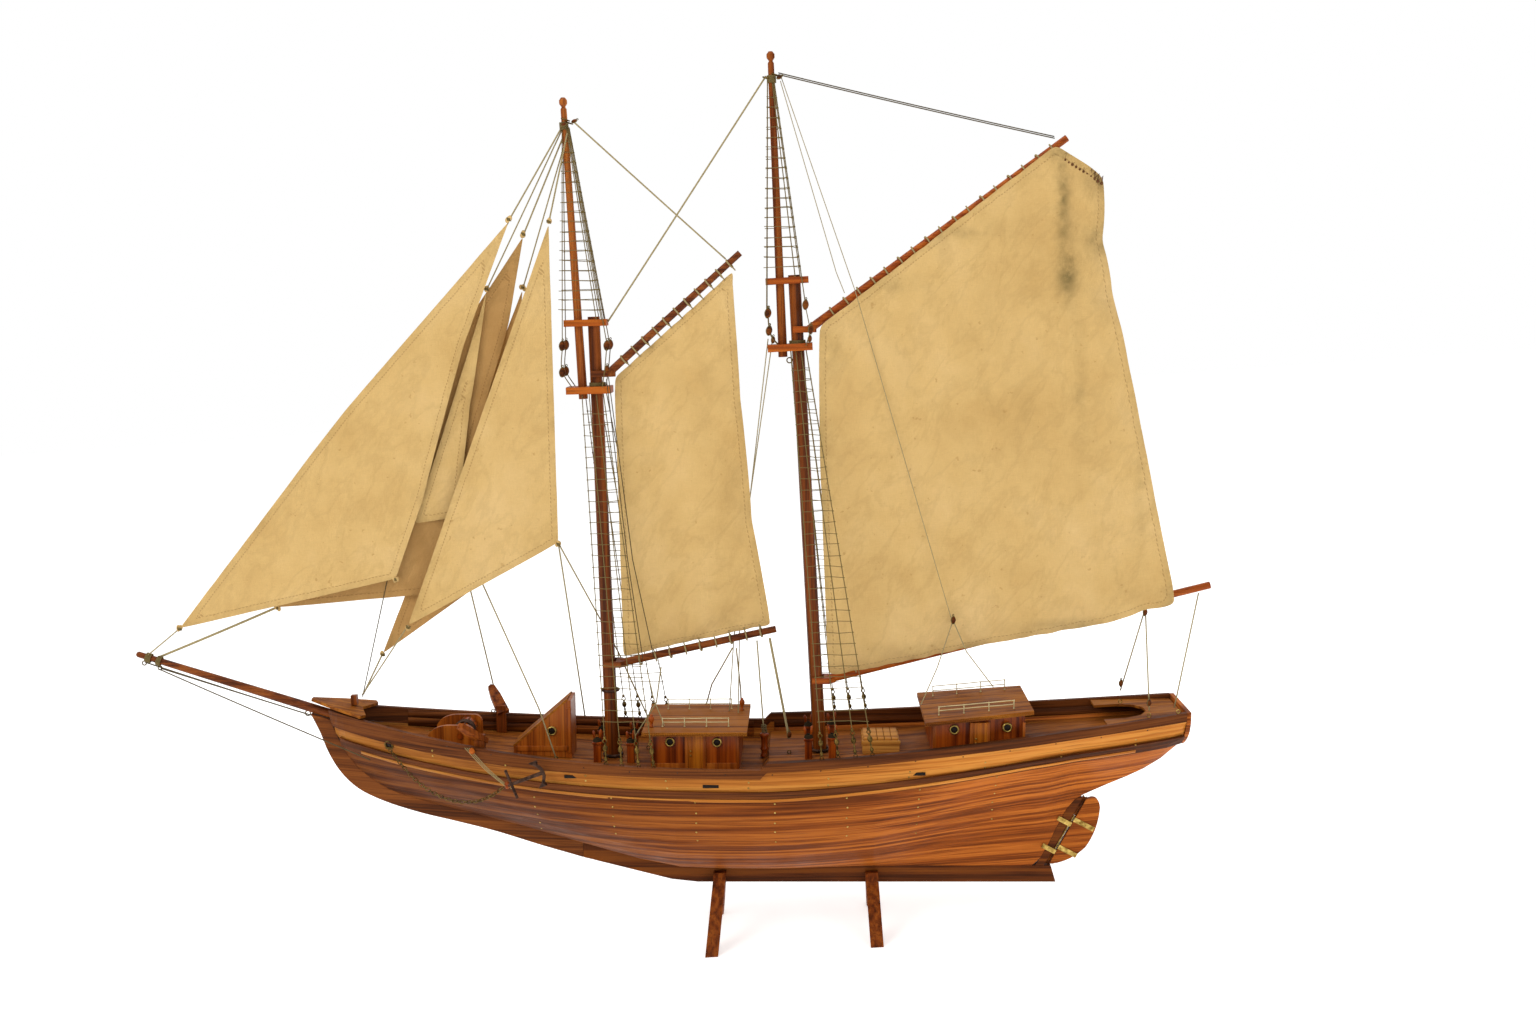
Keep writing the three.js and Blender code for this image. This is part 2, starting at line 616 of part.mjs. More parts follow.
const SAIL_THICKNESS = 0.8;
const FORESAIL = [
  [-147, 519], [-29, 622], [-23, 496], [-13, 376], [5, 269], [-144, 237],
];
const MAINSAIL = [
  [54, 563], [289, 734], [330, 708], [330, 649], [340, 601], [408, 290], [381, 285],
  [321, 267], [236, 252], [80, 220], [63, 220], [57, 396],
];

function addGaffRig() {
  add('fore_boom', jawedSpar(FORE_MAST, FORE_BOOM.z, FORE_BOOM.end, 4, 3.4), WOOD.spar, 0.5);
  add('fore_gaff', jawedSpar(FORE_MAST, FORE_GAFF.z, FORE_GAFF.end, 4, 3.2), WOOD.spar, 0.5);
  add('foresail', acrossPlate(FORESAIL, -SAIL_THICKNESS / 2, SAIL_THICKNESS / 2), SAILCLOTH, 0.9);
  add('main_boom', jawedSpar(MAIN_MAST, MAIN_BOOM.z, MAIN_BOOM.end, 4.2, 3.6), WOOD.boom, 0.5);
  add('main_gaff', jawedSpar(MAIN_MAST, MAIN_GAFF.z, MAIN_GAFF.end, 4.2, 3.4), WOOD.boom, 0.5);
  const clearOfBoom = -5.4;
  add('mainsail', acrossPlate(MAINSAIL, clearOfBoom, clearOfBoom + SAIL_THICKNESS), SAILCLOTH, 0.9);
}

// Headsails side by side, each on its own stay; offset is the middle plane of the cloth.
const HEADSAILS = [
  ['fore_staysail', -12, [[-207, 669], [-360, 272], [-206, 356]]],
  ['flying_jib', -6, [[-247, 672], [-419, 485], [-594, 269], [-372, 319], [-342, 398], [-295, 553]]],
  ['inner_jib', -1, [[-272, 605], [-352, 374], [-308, 381], [-292, 494]]],
  ['outer_jib', 4, [[-235, 658], [-497, 288], [-340, 302], [-254, 567]]],
  ['inner_staysail', 10, [[-238, 606], [-393, 238], [-262, 331]]],
];

function addHeadsails() {
  for (const [name, offset, corners] of HEADSAILS) {
    const half = SAIL_THICKNESS / 2;
    add(name, acrossPlate(corners, offset - half, offset + half), SAILCLOTH, 0.9);
  }
}

// The rudder turns on a pin that leans aft with the sternpost.
const PIN_LOW = point(285.9, 17);
const PIN_HIGH = point(324.5, 89.2);
const RUDDER_HALF = 2.5;
const STRAP_THICKNESS = 0.7;
const onPin = (t, away = 0) => {
  const along = PIN_HIGH.clone().sub(PIN_LOW);
  const back = new THREE.Vector3(along.z, 0, -along.x).normalize();
  return PIN_LOW.clone().lerp(PIN_HIGH, t).addScaledVector(back, away);
};

// A brass strap: two cheeks on the faces of a timber, closed by a bridge beside the pin.
// Distances run aft from the pin; the bridge is the stretch between inner and end.
function strap(t, tail, inner, end, half) {
  const along = PIN_HIGH.clone().sub(PIN_LOW).normalize();
  const back = new THREE.Vector3(along.z, 0, -along.x);
  const place = new THREE.Matrix4().makeBasis(back, new THREE.Vector3(0, 1, 0), along);
  const outside = half + STRAP_THICKNESS;
  const beyond = tail + Math.sign(tail);
  const band = box(Math.min(tail, end), Math.max(tail, end), -outside, outside, -2.4, 2.4);
  const timber = box(Math.min(beyond, inner), Math.max(beyond, inner), -half, half, -6, 6);
  return cut(band, timber).applyMatrix4(place.setPosition(onPin(t)));
}

function addRudder() {
  const lead = 2;
  const low = onPin(0.03, lead);
  const high = onPin(0.97, lead);
  const blade = new THREE.Shape();
  blade.moveTo(high.x, high.z);
  blade.quadraticCurveTo(338, 93, 339.5, 78);
  blade.quadraticCurveTo(338, 54, 325.5, 36);
  blade.quadraticCurveTo(311, 21, low.x + 3, low.z);
  blade.lineTo(low.x, low.z);
  blade.closePath();
  add('rudder_blade', acrossPlate(blade, -RUDDER_HALF, RUDDER_HALF), WOOD.keel);
  add('rudder_pintle_lower', strap(0.28, 22, 1.7, 1.15, RUDDER_HALF + GAP), BRASS, 0.35, 1);
  add('rudder_pintle_upper', strap(0.68, 24, 1.7, 1.15, RUDDER_HALF + GAP), BRASS, 0.35, 1);

  const gudgeon = (t) => strap(t, -15, -2.1, 0.3, BACKBONE_HALF + 3 * GAP);
  const pin = rod(onPin(0.17), onPin(0.72), 0.9, 0.9, 8);
  add('rudder_pin', join(gudgeon(0.21), gudgeon(0.61), pin), BRASS, 0.35, 1);
}

// Two crutches stand across the keel, each a pair of splayed legs with a notch for the keel.
function crutch(notch) {
  const shape = outline([
    [-62, 0], [-48, 0], [-15, notch - 14], [15, notch - 14], [48, 0], [62, 0], [19, notch + 3],
    [13, notch + 13], [BACKBONE_HALF + GAP, notch + 13], [BACKBONE_HALF + GAP, notch],
    [-BACKBONE_HALF - GAP, notch], [-BACKBONE_HALF - GAP, notch + 13], [-13, notch + 13],
    [-19, notch + 3],
  ]);
  return alongPlate(shape, -6.5, 6.5);
}

function addStands() {
  const places = [['stand_fore', -50, 0.16], ['stand_aft', 107, 0.0]];
  for (const [name, x, lean] of places) {
    const notch = KEEL_HEIGHT - x * Math.sin(TRIM) - 1;
    const shear = new THREE.Matrix4().makeShear(0, 0, 0, 0, lean, 0);
    const legs = crutch(notch).applyMatrix4(shear).translate(x - lean * notch, 0, 0);
    add(name, legs, WOOD.keel, 0.6, 0, model);
  }
}

addBackbone();
addHull();
addBulkheads();
addDecks();
addBow();
addWindlass();
addCatheads();
addGroundTackle();
addDeckHouses();
addMasts();
addGaffRig();
addHeadsails();
addRudder();
addStands();

ship.rotation.y = TRIM;
ship.position.z = KEEL_HEIGHT;
model.add(ship);
model.updateMatrixWorld(true);
const middle = new THREE.Box3().setFromObject(model).getCenter(new THREE.Vector3());
model.position.set(-middle.x, -middle.y, 0);

export default model;
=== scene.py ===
"""Model sailing ship: looks, cloth, rigging and fittings over the CAD frame.

The ship's own frame is used throughout: millimetres, keel level, X aft, Y to starboard and Z = 0
under the keel. at(x, z, y) turns a place in it into metres in the row's frame.
"""

import math
import random

import bmesh
import bpy
from mathutils import Matrix, Vector, noise
from mathutils.bvhtree import BVHTree
from mathutils.geometry import delaunay_2d_cdt


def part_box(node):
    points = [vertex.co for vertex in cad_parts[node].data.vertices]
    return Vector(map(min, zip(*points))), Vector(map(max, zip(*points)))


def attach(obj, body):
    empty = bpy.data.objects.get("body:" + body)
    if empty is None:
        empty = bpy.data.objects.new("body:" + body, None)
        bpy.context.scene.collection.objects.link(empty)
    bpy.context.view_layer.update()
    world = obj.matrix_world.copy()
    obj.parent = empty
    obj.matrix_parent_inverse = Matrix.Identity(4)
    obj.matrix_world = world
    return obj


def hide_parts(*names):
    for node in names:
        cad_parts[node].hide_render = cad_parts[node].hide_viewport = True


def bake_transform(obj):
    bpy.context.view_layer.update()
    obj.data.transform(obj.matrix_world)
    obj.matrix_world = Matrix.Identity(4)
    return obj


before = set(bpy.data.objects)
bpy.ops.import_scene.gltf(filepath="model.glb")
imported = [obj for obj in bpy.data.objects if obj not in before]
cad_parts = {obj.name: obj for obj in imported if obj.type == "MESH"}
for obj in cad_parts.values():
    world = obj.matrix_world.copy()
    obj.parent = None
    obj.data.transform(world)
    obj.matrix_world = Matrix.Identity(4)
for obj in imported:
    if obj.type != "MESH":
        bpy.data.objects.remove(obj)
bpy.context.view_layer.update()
random.seed(7)

# ---- the ship's frame ----
TRIM = math.radians(3.6)
KEEL_HEIGHT = 53.6
KEEL_END = 295.0  # X of the keel's lower aft corner
MM = 0.001

SHIP = (
    Matrix.Translation((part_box("keel")[1][0] - KEEL_END * MM * math.cos(TRIM), 0, KEEL_HEIGHT * MM))
    @ Matrix.Rotation(TRIM, 4, "Y")
    @ Matrix.Scale(MM, 4)
)
TO_SHIP = SHIP.inverted()
SIDES = ((-1, "port"), (1, "starboard"))


def at(x, z, y=0.0):
    return SHIP @ Vector((x, y, z))


def heading(x, z, y=0.0):
    return (SHIP.to_3x3() @ Vector((x, y, z))).normalized()


def side_name(side):
    return "port" if side < 0 else "starboard"


# ---- camera ----
CAMERA_PLACE = (41.6, 603.4, -1584.9)  # x, z, y
CAMERA_YAW = 1.38
CAMERA_DIP = 7.77
CAMERA_ROLL = -0.5


def make_camera():
    data = bpy.data.cameras.new("camera")
    data.sensor_width = 36.0
    data.lens = 37.5
    data.clip_start = 0.05
    data.clip_end = 50.0
    camera = bpy.data.objects.new("camera", data)
    bpy.context.scene.collection.objects.link(camera)
    turn = (
        Matrix.Rotation(math.radians(CAMERA_YAW), 3, "Z")
        @ Matrix.Rotation(math.radians(90 - CAMERA_DIP), 3, "X")
        @ Matrix.Rotation(math.radians(CAMERA_ROLL), 3, "Z")
    )
    turn = Matrix.Rotation(TRIM, 3, "Y") @ turn
    camera.matrix_world = Matrix.Translation(at(*CAMERA_PLACE)) @ turn.to_4x4()
    bpy.context.scene.camera = camera


make_camera()


# ---- node material helpers ----
class Shader:
    """A material being wired: each method adds a node and returns its output socket."""

    def __init__(self, name, roughness=0.5, metallic=0.0, coat=0.0):
        self.material = bpy.data.materials.new(name)
        self.material.use_nodes = True
        self.tree = self.material.node_tree
        self.surface = self.tree.nodes["Principled BSDF"]
        self.surface.inputs["Roughness"].default_value = roughness
        self.surface.inputs["Metallic"].default_value = metallic
        self.surface.inputs["Coat Weight"].default_value = coat
        self.surface.inputs["Coat Roughness"].default_value = 0.3
        self.surface.inputs["Specular IOR Level"].default_value = 0.09

    def add(self, kind, inputs=(), **settings):
        node = self.tree.nodes.new(kind)
        for key, value in settings.items():
            setattr(node, key, value)
        for key, value in dict(inputs).items():
            if isinstance(value, bpy.types.NodeSocket):
                self.tree.links.new(value, node.inputs[key])
            else:
                node.inputs[key].default_value = value
        return node

    def place(self, scale, turn=0.0, bend=0.0):
        """Object coordinates, laid along the ship's trim and bent with its sheer, then scaled."""
        spot = self.add("ShaderNodeTexCoord").outputs["Object"]
        if turn:
            inputs = {"Vector": spot, "Rotation": (0, turn, 0)}
            spot = self.add("ShaderNodeMapping", inputs, vector_type="TEXTURE").outputs["Vector"]
        if bend:
            split = self.add("ShaderNodeSeparateXYZ", {"Vector": spot}).outputs
            rise = self.times(self.times(split[0], split[0]), bend)
            level = self.minus(split[2], rise)
            spot = self.add("ShaderNodeCombineXYZ", {"X": split[0], "Y": split[1], "Z": level}).outputs[0]
        return self.add("ShaderNodeMapping", {"Vector": spot, "Scale": scale}).outputs["Vector"]

    def noise(self, vector, scale, detail=4.0, roughness=0.55, distortion=0.0):
        inputs = {"Vector": vector, "Scale": scale, "Detail": detail, "Roughness": roughness,
                  "Distortion": distortion}
        return self.add("ShaderNodeTexNoise", inputs).outputs["Fac"]

    def math(self, operation, a, b=0.0):
        return self.add("ShaderNodeMath", {0: a, 1: b}, operation=operation).outputs[0]

    def plus(self, a, b):
        return self.math("ADD", a, b)

    def minus(self, a, b):
        return self.math("SUBTRACT", a, b)

    def times(self, a, b):
        return self.math("MULTIPLY", a, b)

    def spread(self, value, low, high, to_low=0.0, to_high=1.0):
        inputs = {"Value": value, "From Min": low, "From Max": high, "To Min": to_low, "To Max": to_high}
        return self.add("ShaderNodeMapRange", inputs).outputs["Result"]

    def ramp(self, value, stops):
        node = self.add("ShaderNodeValToRGB", {"Fac": value})
        ramp = node.color_ramp
        while len(ramp.elements) < len(stops):
            ramp.elements.new(0.5)
        for element, (position, color) in zip(ramp.elements, stops):
            element.position = position
            element.color = (*color, 1.0)
        return node.outputs["Color"]

    def mix(self, factor, a, b, blend="MIX"):
        node = self.add("ShaderNodeMix", data_type="RGBA", blend_type=blend)
        for key, value in ((0, factor), (6, a), (7, b)):
            if isinstance(value, bpy.types.NodeSocket):
                self.tree.links.new(value, node.inputs[key])
            elif key == 0:
                node.inputs[key].default_value = value
            else:
                node.inputs[key].default_value = (*value, 1.0)
        return node.outputs[2]

    def attribute(self, name):
        return self.add("ShaderNodeAttribute", attribute_name=name).outputs["Fac"]

    def color(self, socket):
        self.tree.links.new(socket, self.surface.inputs["Base Color"])

    def rough(self, socket):
        self.tree.links.new(socket, self.surface.inputs["Roughness"])

    def bump(self, height, distance, strength=0.6):
        node = self.add("ShaderNodeBump", {"Height": height, "Distance": distance, "Strength": strength})
        self.tree.links.new(node.outputs["Normal"], self.surface.inputs["Normal"])


def srgb(red, green, blue):
    """Linear colour from 0-255 display values."""
    channels = [value / 255 for value in (red, green, blue)]
    return tuple(c / 12.92 if c <= 0.04045 else ((c + 0.055) / 1.055) ** 2.4 for c in channels)


# How much finer the figure is across each axis; a hull's planks keep their grain round its side.
GRAIN = {"X": (0, 1, 1), "Y": (1, 0, 1), "Z": (1, 1, 0), "side": (0, 0.06, 1)}


def wood(name, tones, grain, figure, roughness, coat=0.0, wear=0.35, fine=1.0, drift=None, seams=None):
    """Wood with fibres, growth figure, darker pores, worn patches and optional plank seams.

    tones run from dark to light. drift is how bright the wood is at the bow and at the stern: the
    colour is scaled from the first towards the second along the ship. seams are the axis across them, their
    pitch and their darkness.
    """
    dark, mid, light = [srgb(*tone) for tone in tones]
    shader = Shader(name, roughness, coat=coat)
    along, across = 2.2, 110.0 * fine
    scale = tuple(across * flag if flag else along for flag in GRAIN[grain])
    stretched = shader.place(scale, TRIM if grain != "Y" else 0, 0.12 if grain == "side" else 0)
    plain = shader.place((1, 1, 1))
    fibre = shader.noise(stretched, 2.4, 4.0, 0.66)
    wide = shader.noise(stretched, 0.3, 1.0, 0.4)
    rings = shader.math("SINE", shader.times(wide, 60.0 * figure))
    rings = shader.spread(rings, -1, 1, 0.0, 1.0)
    tone = shader.plus(shader.times(fibre, 0.8), shader.times(rings, 0.16))
    color = shader.ramp(tone, [(0.34, dark), (0.46, mid), (0.59, light)])
    pores = shader.noise(stretched, 5.5, 2.0, 0.4)
    pores = shader.spread(pores, 0.57, 0.66)
    color = shader.mix(shader.times(pores, 0.5), color, tuple(c * 0.6 for c in dark))
    patch = shader.noise(plain, 11.0, 4.0, 0.6)
    patch = shader.spread(patch, 0.35, 0.7, 0.0, wear)
    color = shader.mix(patch, color, tuple(0.5 * m + 0.42 * c for m, c in zip(mid, light)))
    if drift:
        along_ship = shader.add("ShaderNodeSeparateXYZ", {"Vector": plain}).outputs[0]
        color = shader.mix(1.0, color, shader.spread(along_ship, -0.20, 0.30, *drift), "MULTIPLY")
    height = shader.plus(fibre, shader.times(pores, -0.6))
    if seams:
        axis, pitch, darkness = seams
        split = shader.add("ShaderNodeSeparateXYZ", {"Vector": plain}).outputs[axis]
        place = shader.math("FRACT", shader.math("DIVIDE", split, pitch))
        near = shader.math("ABSOLUTE", shader.minus(place, 0.5))
        line = shader.spread(near, 0.035, 0.015)
        color = shader.mix(shader.times(line, darkness), color, tuple(c * 0.2 for c in dark))
        height = shader.minus(height, shader.times(line, 2.0))
    shader.color(color)
    gloss = shader.noise(plain, 35.0, 3.0)
    shader.rough(shader.spread(gloss, 0.3, 0.7, roughness - 0.08, roughness + 0.12))
    shader.bump(height, 0.0004, 0.35)
    return shader.material


def cotton(name, *tones):
    """Tan cotton: plain weave, faint blotches and specks, stitched hem, soiled edges and stains, and painted
    shade along the valleys of its creases.
    """
    low, mid, high = [srgb(*tone) for tone in tones]
    shader = Shader(name, 0.9)
    shader.surface.inputs["Sheen Weight"].default_value = 0.1
    shader.surface.inputs["Specular IOR Level"].default_value = 0.1
    plain = shader.place((1, 1, 1))
    blotch = shader.noise(plain, 9.0, 6.0, 0.62)
    color = shader.ramp(blotch, [(0.25, low), (0.5, mid), (0.75, high)])
    fine = shader.noise(shader.place((60, 60, 900)), 3.0, 3.0)
    across = shader.noise(shader.place((900, 60, 60)), 3.0, 3.0)
    threads = shader.plus(fine, across)
    shade = shader.spread(threads, 0.75, 1.25, 0.0, 0.22)
    color = shader.mix(shade, color, tuple(0.68 * c for c in low))
    speck = shader.noise(plain, 160.0, 2.0, 0.5)
    speck = shader.spread(speck, 0.7, 0.76, 0.0, 0.35)
    color = shader.mix(speck, color, srgb(150, 108, 52))
    edge = shader.attribute("edge")
    soil = shader.noise(plain, 60.0, 4.0, 0.65)
    fold = shader.spread(edge, 0.0072, 0.0066)
    color = shader.mix(shader.times(fold, 0.04), color, tuple(0.6 * c for c in low))
    near = shader.math("ABSOLUTE", shader.minus(edge, 0.0062))
    seam = shader.spread(near, 0.0007, 0.0003)
    split = shader.add("ShaderNodeSeparateXYZ", {"Vector": plain})
    run = shader.plus(split.outputs[0], split.outputs[2])
    dash = shader.math("GREATER_THAN", shader.math("FRACT", shader.times(run, 230.0)), 0.42)
    stitch = shader.times(seam, dash)
    color = shader.mix(shader.times(stitch, 0.4), color, srgb(120, 82, 40))
    dirt = shader.times(shader.spread(edge, 0.007, 0.0), shader.spread(soil, 0.4, 0.8))
    color = shader.mix(shader.times(dirt, 0.32), color, srgb(116, 98, 58))
    stain = shader.attribute("stain")
    stain = shader.times(stain, shader.spread(shader.noise(plain, 45.0, 5.0, 0.7), 0.30, 0.60))
    color = shader.mix(shader.times(stain, 0.95), color, srgb(94, 82, 46))
    # Painted shade: the valleys of this crease pattern are darkened as if shade lay in them; the same
    # pattern also drives the bump.
    folds = shader.noise(shader.place((14, 14, 34), -0.95), 1.0, 5.0, 0.6, 0.3)
    folds = shader.math("ABSOLUTE", shader.minus(folds, 0.5))
    crease_shade = shader.spread(folds, 0.05, 0.0)
    color = shader.mix(shader.times(crease_shade, 0.16), color, tuple(0.62 * c for c in low))
    shader.color(color)
    weave_x = shader.add("ShaderNodeTexWave", {"Vector": plain, "Scale": 330.0}, bands_direction="X")
    weave_z = shader.add("ShaderNodeTexWave", {"Vector": plain, "Scale": 330.0}, bands_direction="Z")
    weave = shader.times(weave_x.outputs["Fac"], weave_z.outputs["Fac"])
    height = shader.plus(weave, soil)
    height = shader.plus(height, shader.times(fold, 1.5))
    height = shader.minus(height, shader.times(stitch, 2.0))
    height = shader.plus(height, shader.times(folds, 14.0))
    shader.bump(height, 0.0004, 0.5)
    return shader.material


def laid(name, *tones):
    """Laid cord: the strands wind round it, read from the tube's own run and turn; the grooves between the
    strands are darkened with painted shade.
    """
    pale, groove_shade = [srgb(*tone) for tone in tones]
    shader = Shader(name, 0.9)
    run = shader.times(shader.attribute("run"), 900.0)
    turn = shader.times(shader.attribute("turn"), 2.0)
    strand = shader.math("FRACT", shader.plus(run, turn))
    hump = shader.math("SINE", shader.times(strand, math.pi))
    fuzz = shader.noise(shader.place((1, 1, 1)), 260.0, 3.0)
    tone = shader.times(hump, shader.spread(fuzz, 0.2, 0.8, 0.65, 1.1))
    # Painted shade: between the strands the colour runs to the darker tone, where shade would fall.
    shader.color(shader.ramp(tone, [(0.1, groove_shade), (0.75, pale)]))
    shader.bump(hump, 0.0003, 0.5)
    return shader.material


def metal(name, bright, dull, roughness, metallic=1.0):
    bright, dull = srgb(*bright), srgb(*dull)
    shader = Shader(name, roughness, metallic)
    plain = shader.place((1, 1, 1))
    tarnish = shader.noise(plain, 190.0, 5.0, 0.65)
    shader.color(shader.ramp(tarnish, [(0.35, dull), (0.65, bright)]))
    shader.rough(shader.spread(tarnish, 0.3, 0.7, roughness + 0.2, roughness - 0.05))
    shader.bump(tarnish, 0.0002, 0.3)
    return shader.material


def paint(name, color, roughness):
    shader = Shader(name, roughness)
    speckle = shader.noise(shader.place((1, 1, 1)), 120.0, 4.0)
    low = tuple(c * (1 - SPECKLE) for c in srgb(*color))
    high = tuple(min(1.0, c * (1 + SPECKLE)) for c in srgb(*color))
    shader.color(shader.ramp(speckle, [(0.3, low), (0.7, high)]))
    shader.bump(speckle, 0.0001, 0.2)
    return shader.material


SPECKLE = 0.15  # how far plain paint varies either way
# Tones, grain, figure, roughness, coat, wear, fineness, drift and seams.
WOODS = {
    "bottom_wood": [(75, 32, 4), (114, 55, 12), (148, 82, 26), "side", 0.6, 0.5, 0.0, 0.2, 1.7, (0.56, 1.7)],
    "hood_wood": [(108, 48, 9), (147, 72, 16), (167, 91, 26), "Z", 0.4, 0.4, 0.2, 0.1],
    "stem_wood": [(64, 30, 10), (101, 52, 18), (126, 70, 27), "side", 0.4, 0.5, 0.0, 0.3, 1.5],
    "strake_wood": [(150, 84, 26), (188, 114, 42), (206, 136, 58), "side", 0.4, 0.45, 0.0, 0.12, 1.4,
                    (0.64, 1.0)],
    "dark_wood": [(52, 24, 7), (84, 41, 14), (112, 61, 23), "side", 0.5, 0.55, 0.0, 0.3, 1.6],
    "keel_wood": [(58, 25, 5), (91, 43, 10), (117, 62, 16), "X", 0.7, 0.5, 0.0, 0.25],
    "upright_wood": [(68, 27, 6), (112, 51, 14), (140, 73, 22), "Z", 0.7, 0.45],
    "deck_wood": [(78, 36, 9), (119, 62, 16), (145, 83, 24), "X", 0.5, 0.6, 0.0, 0.3, 1.0, None,
                  (1, 0.012, 0.5)],
    "cabin_wood": [(86, 28, 3), (132, 54, 7), (158, 73, 14), "Z", 0.6, 0.35, 0.2, 0.12],
    "door_wood": [(130, 64, 11), (169, 92, 17), (186, 109, 25), "Z", 0.5, 0.35, 0.2, 0.1],
    "roof_wood": [(93, 46, 10), (132, 73, 18), (156, 94, 26), "X", 0.6, 0.55, 0.0, 0.25],
    "mast_wood": [(62, 25, 3), (102, 47, 8), (132, 66, 16), "Z", 0.6, 0.4, 0.1, 0.15],
    "topmast_wood": [(100, 43, 11), (146, 76, 22), (173, 99, 34), "Z", 0.6, 0.4, 0.1, 0.15],
    "spar_wood": [(70, 30, 8), (108, 52, 16), (134, 72, 26), "X", 0.6, 0.45, 0.05, 0.15],
    "boom_wood": [(113, 46, 8), (151, 70, 16), (171, 89, 23), "X", 0.6, 0.45, 0.1, 0.12],
    "pale_wood": [(140, 84, 30), (178, 116, 46), (198, 139, 64), "X", 0.6, 0.6],
}
OTHERS = [
    (cotton, "sailcloth", (192, 155, 95), (208, 173, 112), (219, 186, 129)),
    # A darker copy of the sailcloth: painted shade for the headsails that sit behind the others, in their
    # shadow.
    (cotton, "sailcloth_dark", (168, 126, 72), (184, 142, 86), (196, 156, 100)),
    # For each cord, the strand colour, then the painted shade between the strands.
    (laid, "rope", (176, 160, 118), (104, 90, 60)),
    (laid, "dark_rope", (92, 80, 56), (50, 40, 26)),
    (laid, "thread", (172, 154, 106), (110, 94, 58)),
    (laid, "twine", (212, 198, 156), (150, 132, 92)),
    (metal, "brass", (206, 176, 98), (120, 92, 40), 0.35),
    (metal, "old_brass", (122, 98, 50), (58, 44, 22), 0.45),
    (metal, "iron", (86, 62, 50), (46, 32, 25), 0.55, 0.7),
    (paint, "wire", (200, 186, 140), 0.5),
    # The near-black paint here is painted shade for portholes, slots and holes that are dark because no
    # light reaches in.
    (paint, "hole", (28, 20, 15), 0.3),
    (paint, "knot", (96, 62, 38), 0.8),
]
MATERIALS = {name: wood(name, row[:3], *row[3:]) for name, row in WOODS.items()}
for make, name, *row in OTHERS:
    MATERIALS[name] = make(name, *row)


# ---- building pieces ----
def new_piece(name, mesh, material, body="hull"):
    piece = bpy.data.objects.new(name, mesh)
    bpy.context.scene.collection.objects.link(piece)
    mesh.materials.append(MATERIALS[material])
    mesh.polygons.foreach_set("use_smooth", [True] * len(mesh.polygons))
    if body:
        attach(piece, body)
    return piece


def mesh_from(name, points, faces):
    mesh = bpy.data.meshes.new(name)
    mesh.from_pydata([tuple(p) for p in points], [], faces)
    mesh.update()
    return mesh


class Parts:
    """Many small solids gathered into one mesh."""

    def __init__(self):
        self.points = []
        self.faces = []

    def extend(self, points, faces):
        base = len(self.points)
        self.points.extend(points)
        self.faces.extend([tuple(base + i for i in face) for face in faces])

    def ball(self, centre, radius, rings=6, sides=10, stretch=None):
        points, faces = [], []
        points.append(Vector((0, 0, -1)))
        for ring in range(1, rings):
            angle = math.pi * ring / rings - math.pi / 2
            for side in range(sides):
                turn = 2 * math.pi * side / sides
                points.append(Vector((math.cos(angle) * math.cos(turn), math.cos(angle) * math.sin(turn),
                                      math.sin(angle))))
        points.append(Vector((0, 0, 1)))
        top = len(points) - 1
        for side in range(sides):
            after = (side + 1) % sides
            faces.append((0, 1 + after, 1 + side))
            for ring in range(rings - 2):
                low = 1 + ring * sides
                faces.append((low + side, low + after, low + sides + after, low + sides + side))
            low = 1 + (rings - 2) * sides
            faces.append((low + side, low + after, top))
        shape = stretch or Matrix.Identity(3)
        self.extend([centre + shape @ (p * radius) for p in points], faces)

    def box(self, centre, size, turn=None, bevel=0.25):
        """A box with chamfered edges; size in metres along its own axes."""
        half = Vector(size) / 2
        cut = min(half) * bevel
        shape = bmesh.new()
        bmesh.ops.create_cube(shape, size=2.0)
        for vert in shape.verts:
            vert.co = Vector((vert.co.x * half.x, vert.co.y * half.y, vert.co.z * half.z))
        bmesh.ops.bevel(shape, geom=shape.edges[:], offset=cut, segments=2, profile=0.6, affect="EDGES")
        shape.verts.ensure_lookup_table()
        matrix = turn or SHIP.to_3x3().normalized()
        points = [centre + matrix @ v.co for v in shape.verts]
        faces = [tuple(v.index for v in f.verts) for f in shape.faces]
        self.extend(points, faces)
        shape.free()

    def ring(self, centre, normal, radius, wire, sides=16, section=6):
        normal = normal.normalized()
        first = normal.orthogonal().normalized()
        second = normal.cross(first)
        points, faces = [], []
        for i in range(sides):
            angle = 2 * math.pi * i / sides
            out = first * math.cos(angle) + second * math.sin(angle)
            for j in range(section):
                turn = 2 * math.pi * j / section
                away = radius + wire * math.cos(turn)
                points.append(centre + out * away + normal * wire * math.sin(turn))
        for i in range(sides):
            for j in range(section):
                a, b = i * section + j, i * section + (j + 1) % section
                c, d = ((i + 1) % sides) * section + (j + 1) % section, ((i + 1) % sides) * section + j
                faces.append((a, d, c, b))
        self.extend(points, faces)

    def tube(self, path, radius, sides=6):
        points, faces = tube_shell(path, radius, sides)
        self.extend(points, faces)

    def lathe(self, base, axis, profile, sides=14):
        """Turned solid: profile is [radius, height] in metres from base along axis."""
        axis = axis.normalized()
        first = axis.orthogonal().normalized()
        second = axis.cross(first)
        points, faces = [], []
        for radius, height in profile:
            for i in range(sides):
                angle = 2 * math.pi * i / sides
                points.append(base + axis * height
                              + (first * math.cos(angle) + second * math.sin(angle)) * max(radius, 1e-5))
        for k in range(len(profile) - 1):
            for i in range(sides):
                after = (i + 1) % sides
                low, high = k * sides, (k + 1) * sides
                faces.append((low + i, low + after, high + after, high + i))
        faces.append(tuple(reversed(range(sides))))
        last = (len(profile) - 1) * sides
        faces.append(tuple(range(last, last + sides)))
        self.extend(points, faces)

    def piece(self, name, material, body="hull"):
        return new_piece(name, mesh_from(name, self.points, self.faces), material, body)


